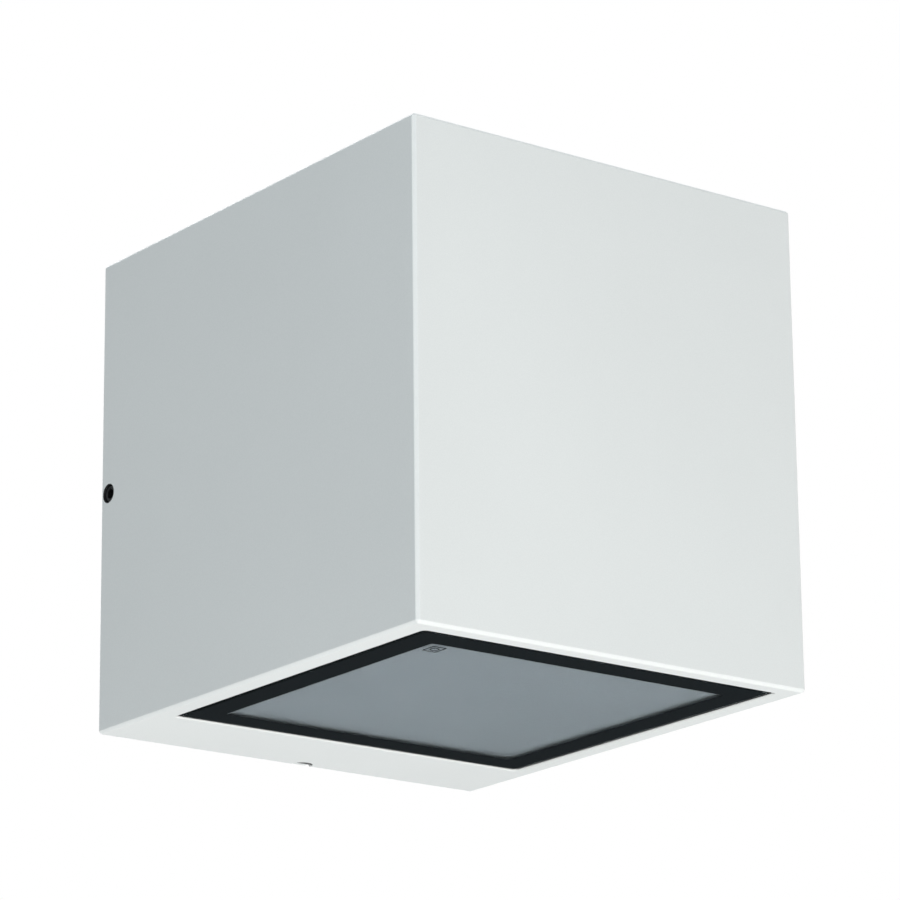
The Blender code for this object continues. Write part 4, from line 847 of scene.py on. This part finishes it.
def refineKeptNodes():
    shading = smoothShading()
    for name, node in nodes.items():
        node.data.materials.clear()
        node.data.materials.append(finishes[finishOf(name)])
        if node.hide_render:
            continue
        weld = node.modifiers.new("weld", "WELD")
        weld.merge_threshold = weldReach
        node.modifiers.new("smooth", "NODES").node_group = shading
        if name in softEdges or name.startswith("terminal_lever"):
            flats = node.modifiers.new("flats", "DECIMATE")
            flats.decimate_type = "DISSOLVE"
            flats.angle_limit = math.radians(flatWithin)
            soft = node.modifiers.new("soft edges", "BEVEL")
            soft.width = softEdges.get(name, leverEdge)
            soft.segments = softSteps
            soft.limit_method = "ANGLE"
            soft.angle_limit = math.radians(smoothBelow)
            soft.harden_normals = True


refineKeptNodes()
print("finishes on the kept pieces")


stageMake = {
    "floorDrop": 1.9,
    "floorSize": 3.0,
    "floorColour": (0.80, 0.80, 0.79),
    "backdrop": 1.0,       # what the camera sees behind the lamp
    "skyColour": (0.93, 0.98, 1.0),
    "sky": 0.50,           # soft light from above the horizon
    "ground": 0.03,        # and from below it, so the glass mirrors something dark
    "horizon": 0.12,       # half height of the blend between the two
}
warm, cool, plain = (1.0, 0.975, 0.94), (0.78, 0.92, 1.0), (1.0, 1.0, 1.0)
lightMake = [
    # name, position, side length, watts, colour
    ("frontSoftbox", (-0.5, -1.68, -0.75), 1.2, 19.2, warm),
    ("underSoftbox", (-0.15, -0.33, -1.5), 0.9, 11.0, plain),
    ("leftSoftbox", (-1.47, -1.03, 0.50), 0.9, 5.8, cool),
    ("rightSoftbox", (1.7, 0.1, 0.4), 1.2, 8.0, plain),
    ("topSoftbox", (0.0, -0.2, 1.9), 1.4, 12.0, plain),
    ("rearSoftbox", (0.6, 1.6, 0.9), 1.2, 14.0, plain),
]


def makeFloor():
    make = stageMake
    bm = bmesh.new()
    bmesh.ops.create_circle(bm, cap_ends=True, segments=96, radius=make["floorSize"])
    floor = newObject("studioFloor", finishMesh(bm, "studioFloor"),
                      plainFinish("pale floor", make["floorColour"], (0.6, 0.8), grain=8.0, cloud=1.0,
                                  drift=0.98))
    floor.location = (0, 0, -make["floorDrop"])


def makeSurroundings():
    make = stageMake
    world = bpy.data.worlds.new("studio")
    world.use_nodes = True
    tree = world.node_tree
    background = tree.nodes["Background"]
    coords = tree.nodes.new("ShaderNodeTexCoord")
    axes = tree.nodes.new("ShaderNodeSeparateXYZ")
    tree.links.new(coords.outputs["Generated"], axes.inputs["Vector"])
    soft = spread(tree, axes.outputs["Z"], make["ground"], make["sky"], -make["horizon"], make["horizon"])
    path = tree.nodes.new("ShaderNodeLightPath")
    strength = tree.nodes.new("ShaderNodeMix")
    strength.inputs["B"].default_value = make["backdrop"]
    tree.links.new(path.outputs["Is Camera Ray"], strength.inputs["Factor"])
    tree.links.new(soft, strength.inputs["A"])
    tree.links.new(strength.outputs["Result"], background.inputs["Strength"])
    tint = blendColours(tree, path.outputs["Is Camera Ray"], make["skyColour"], plain)
    tree.links.new(tint, background.inputs["Color"])
    bpy.context.scene.world = world


def makeLights():
    middle = Vector((0, cadLow.y / 2, 0))
    for name, spot, size, watts, colour in lightMake:
        lamp = bpy.data.lights.new(name, "AREA")
        lamp.shape = "SQUARE"
        lamp.size = size
        lamp.energy = watts
        lamp.color = colour
        softbox = bpy.data.objects.new(name, lamp)
        bpy.context.scene.collection.objects.link(softbox)
        softbox.location = spot
        softbox.rotation_euler = (middle - Vector(spot)).to_track_quat("-Z", "Y").to_euler()
        softbox.visible_camera = False


cameraMake = {
    "azimuth": -37.16,
    "elevation": -17.02,
    "roll": -0.59,
    "aside": 0.0132,       # of the body's height
    "above": 0.0463,
    "distance": 8.750,
    "focus": 4.817,        # focal length over the frame's width
    "sensor": 36.0,
    "clip": (0.05, 30),
}


def makeCamera():
    make = cameraMake
    low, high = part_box("housing")
    tall = high.z - low.z
    centre = Vector(((low.x + high.x) / 2, low.y / 2, (low.z + high.z) / 2))
    azimuth, elevation, roll = (math.radians(make[key]) for key in ("azimuth", "elevation", "roll"))
    back = Vector((math.sin(azimuth) * math.cos(elevation), -math.cos(azimuth) * math.cos(elevation),
                   math.sin(elevation)))
    level = (-back).cross(up).normalized()
    upright = level.cross(-back)
    sideways = level * math.cos(roll) + upright * math.sin(roll)
    upwards = upright * math.cos(roll) - level * math.sin(roll)
    data = bpy.data.cameras.new("lampCamera")
    data.sensor_width = make["sensor"]
    data.lens = make["focus"] * make["sensor"]
    data.clip_start, data.clip_end = make["clip"]
    camera = bpy.data.objects.new("lampCamera", data)
    bpy.context.scene.collection.objects.link(camera)
    spot = centre + tall * (make["aside"] * sideways + make["above"] * upwards + make["distance"] * back)
    turn = Matrix((sideways, upwards, back)).transposed().to_4x4()
    camera.matrix_world = Matrix.Translation(spot) @ turn
    bpy.context.scene.camera = camera


makeFloor()
makeSurroundings()
makeLights()
makeCamera()
bpy.context.scene.view_settings.view_transform = "Standard"
print("stage set")
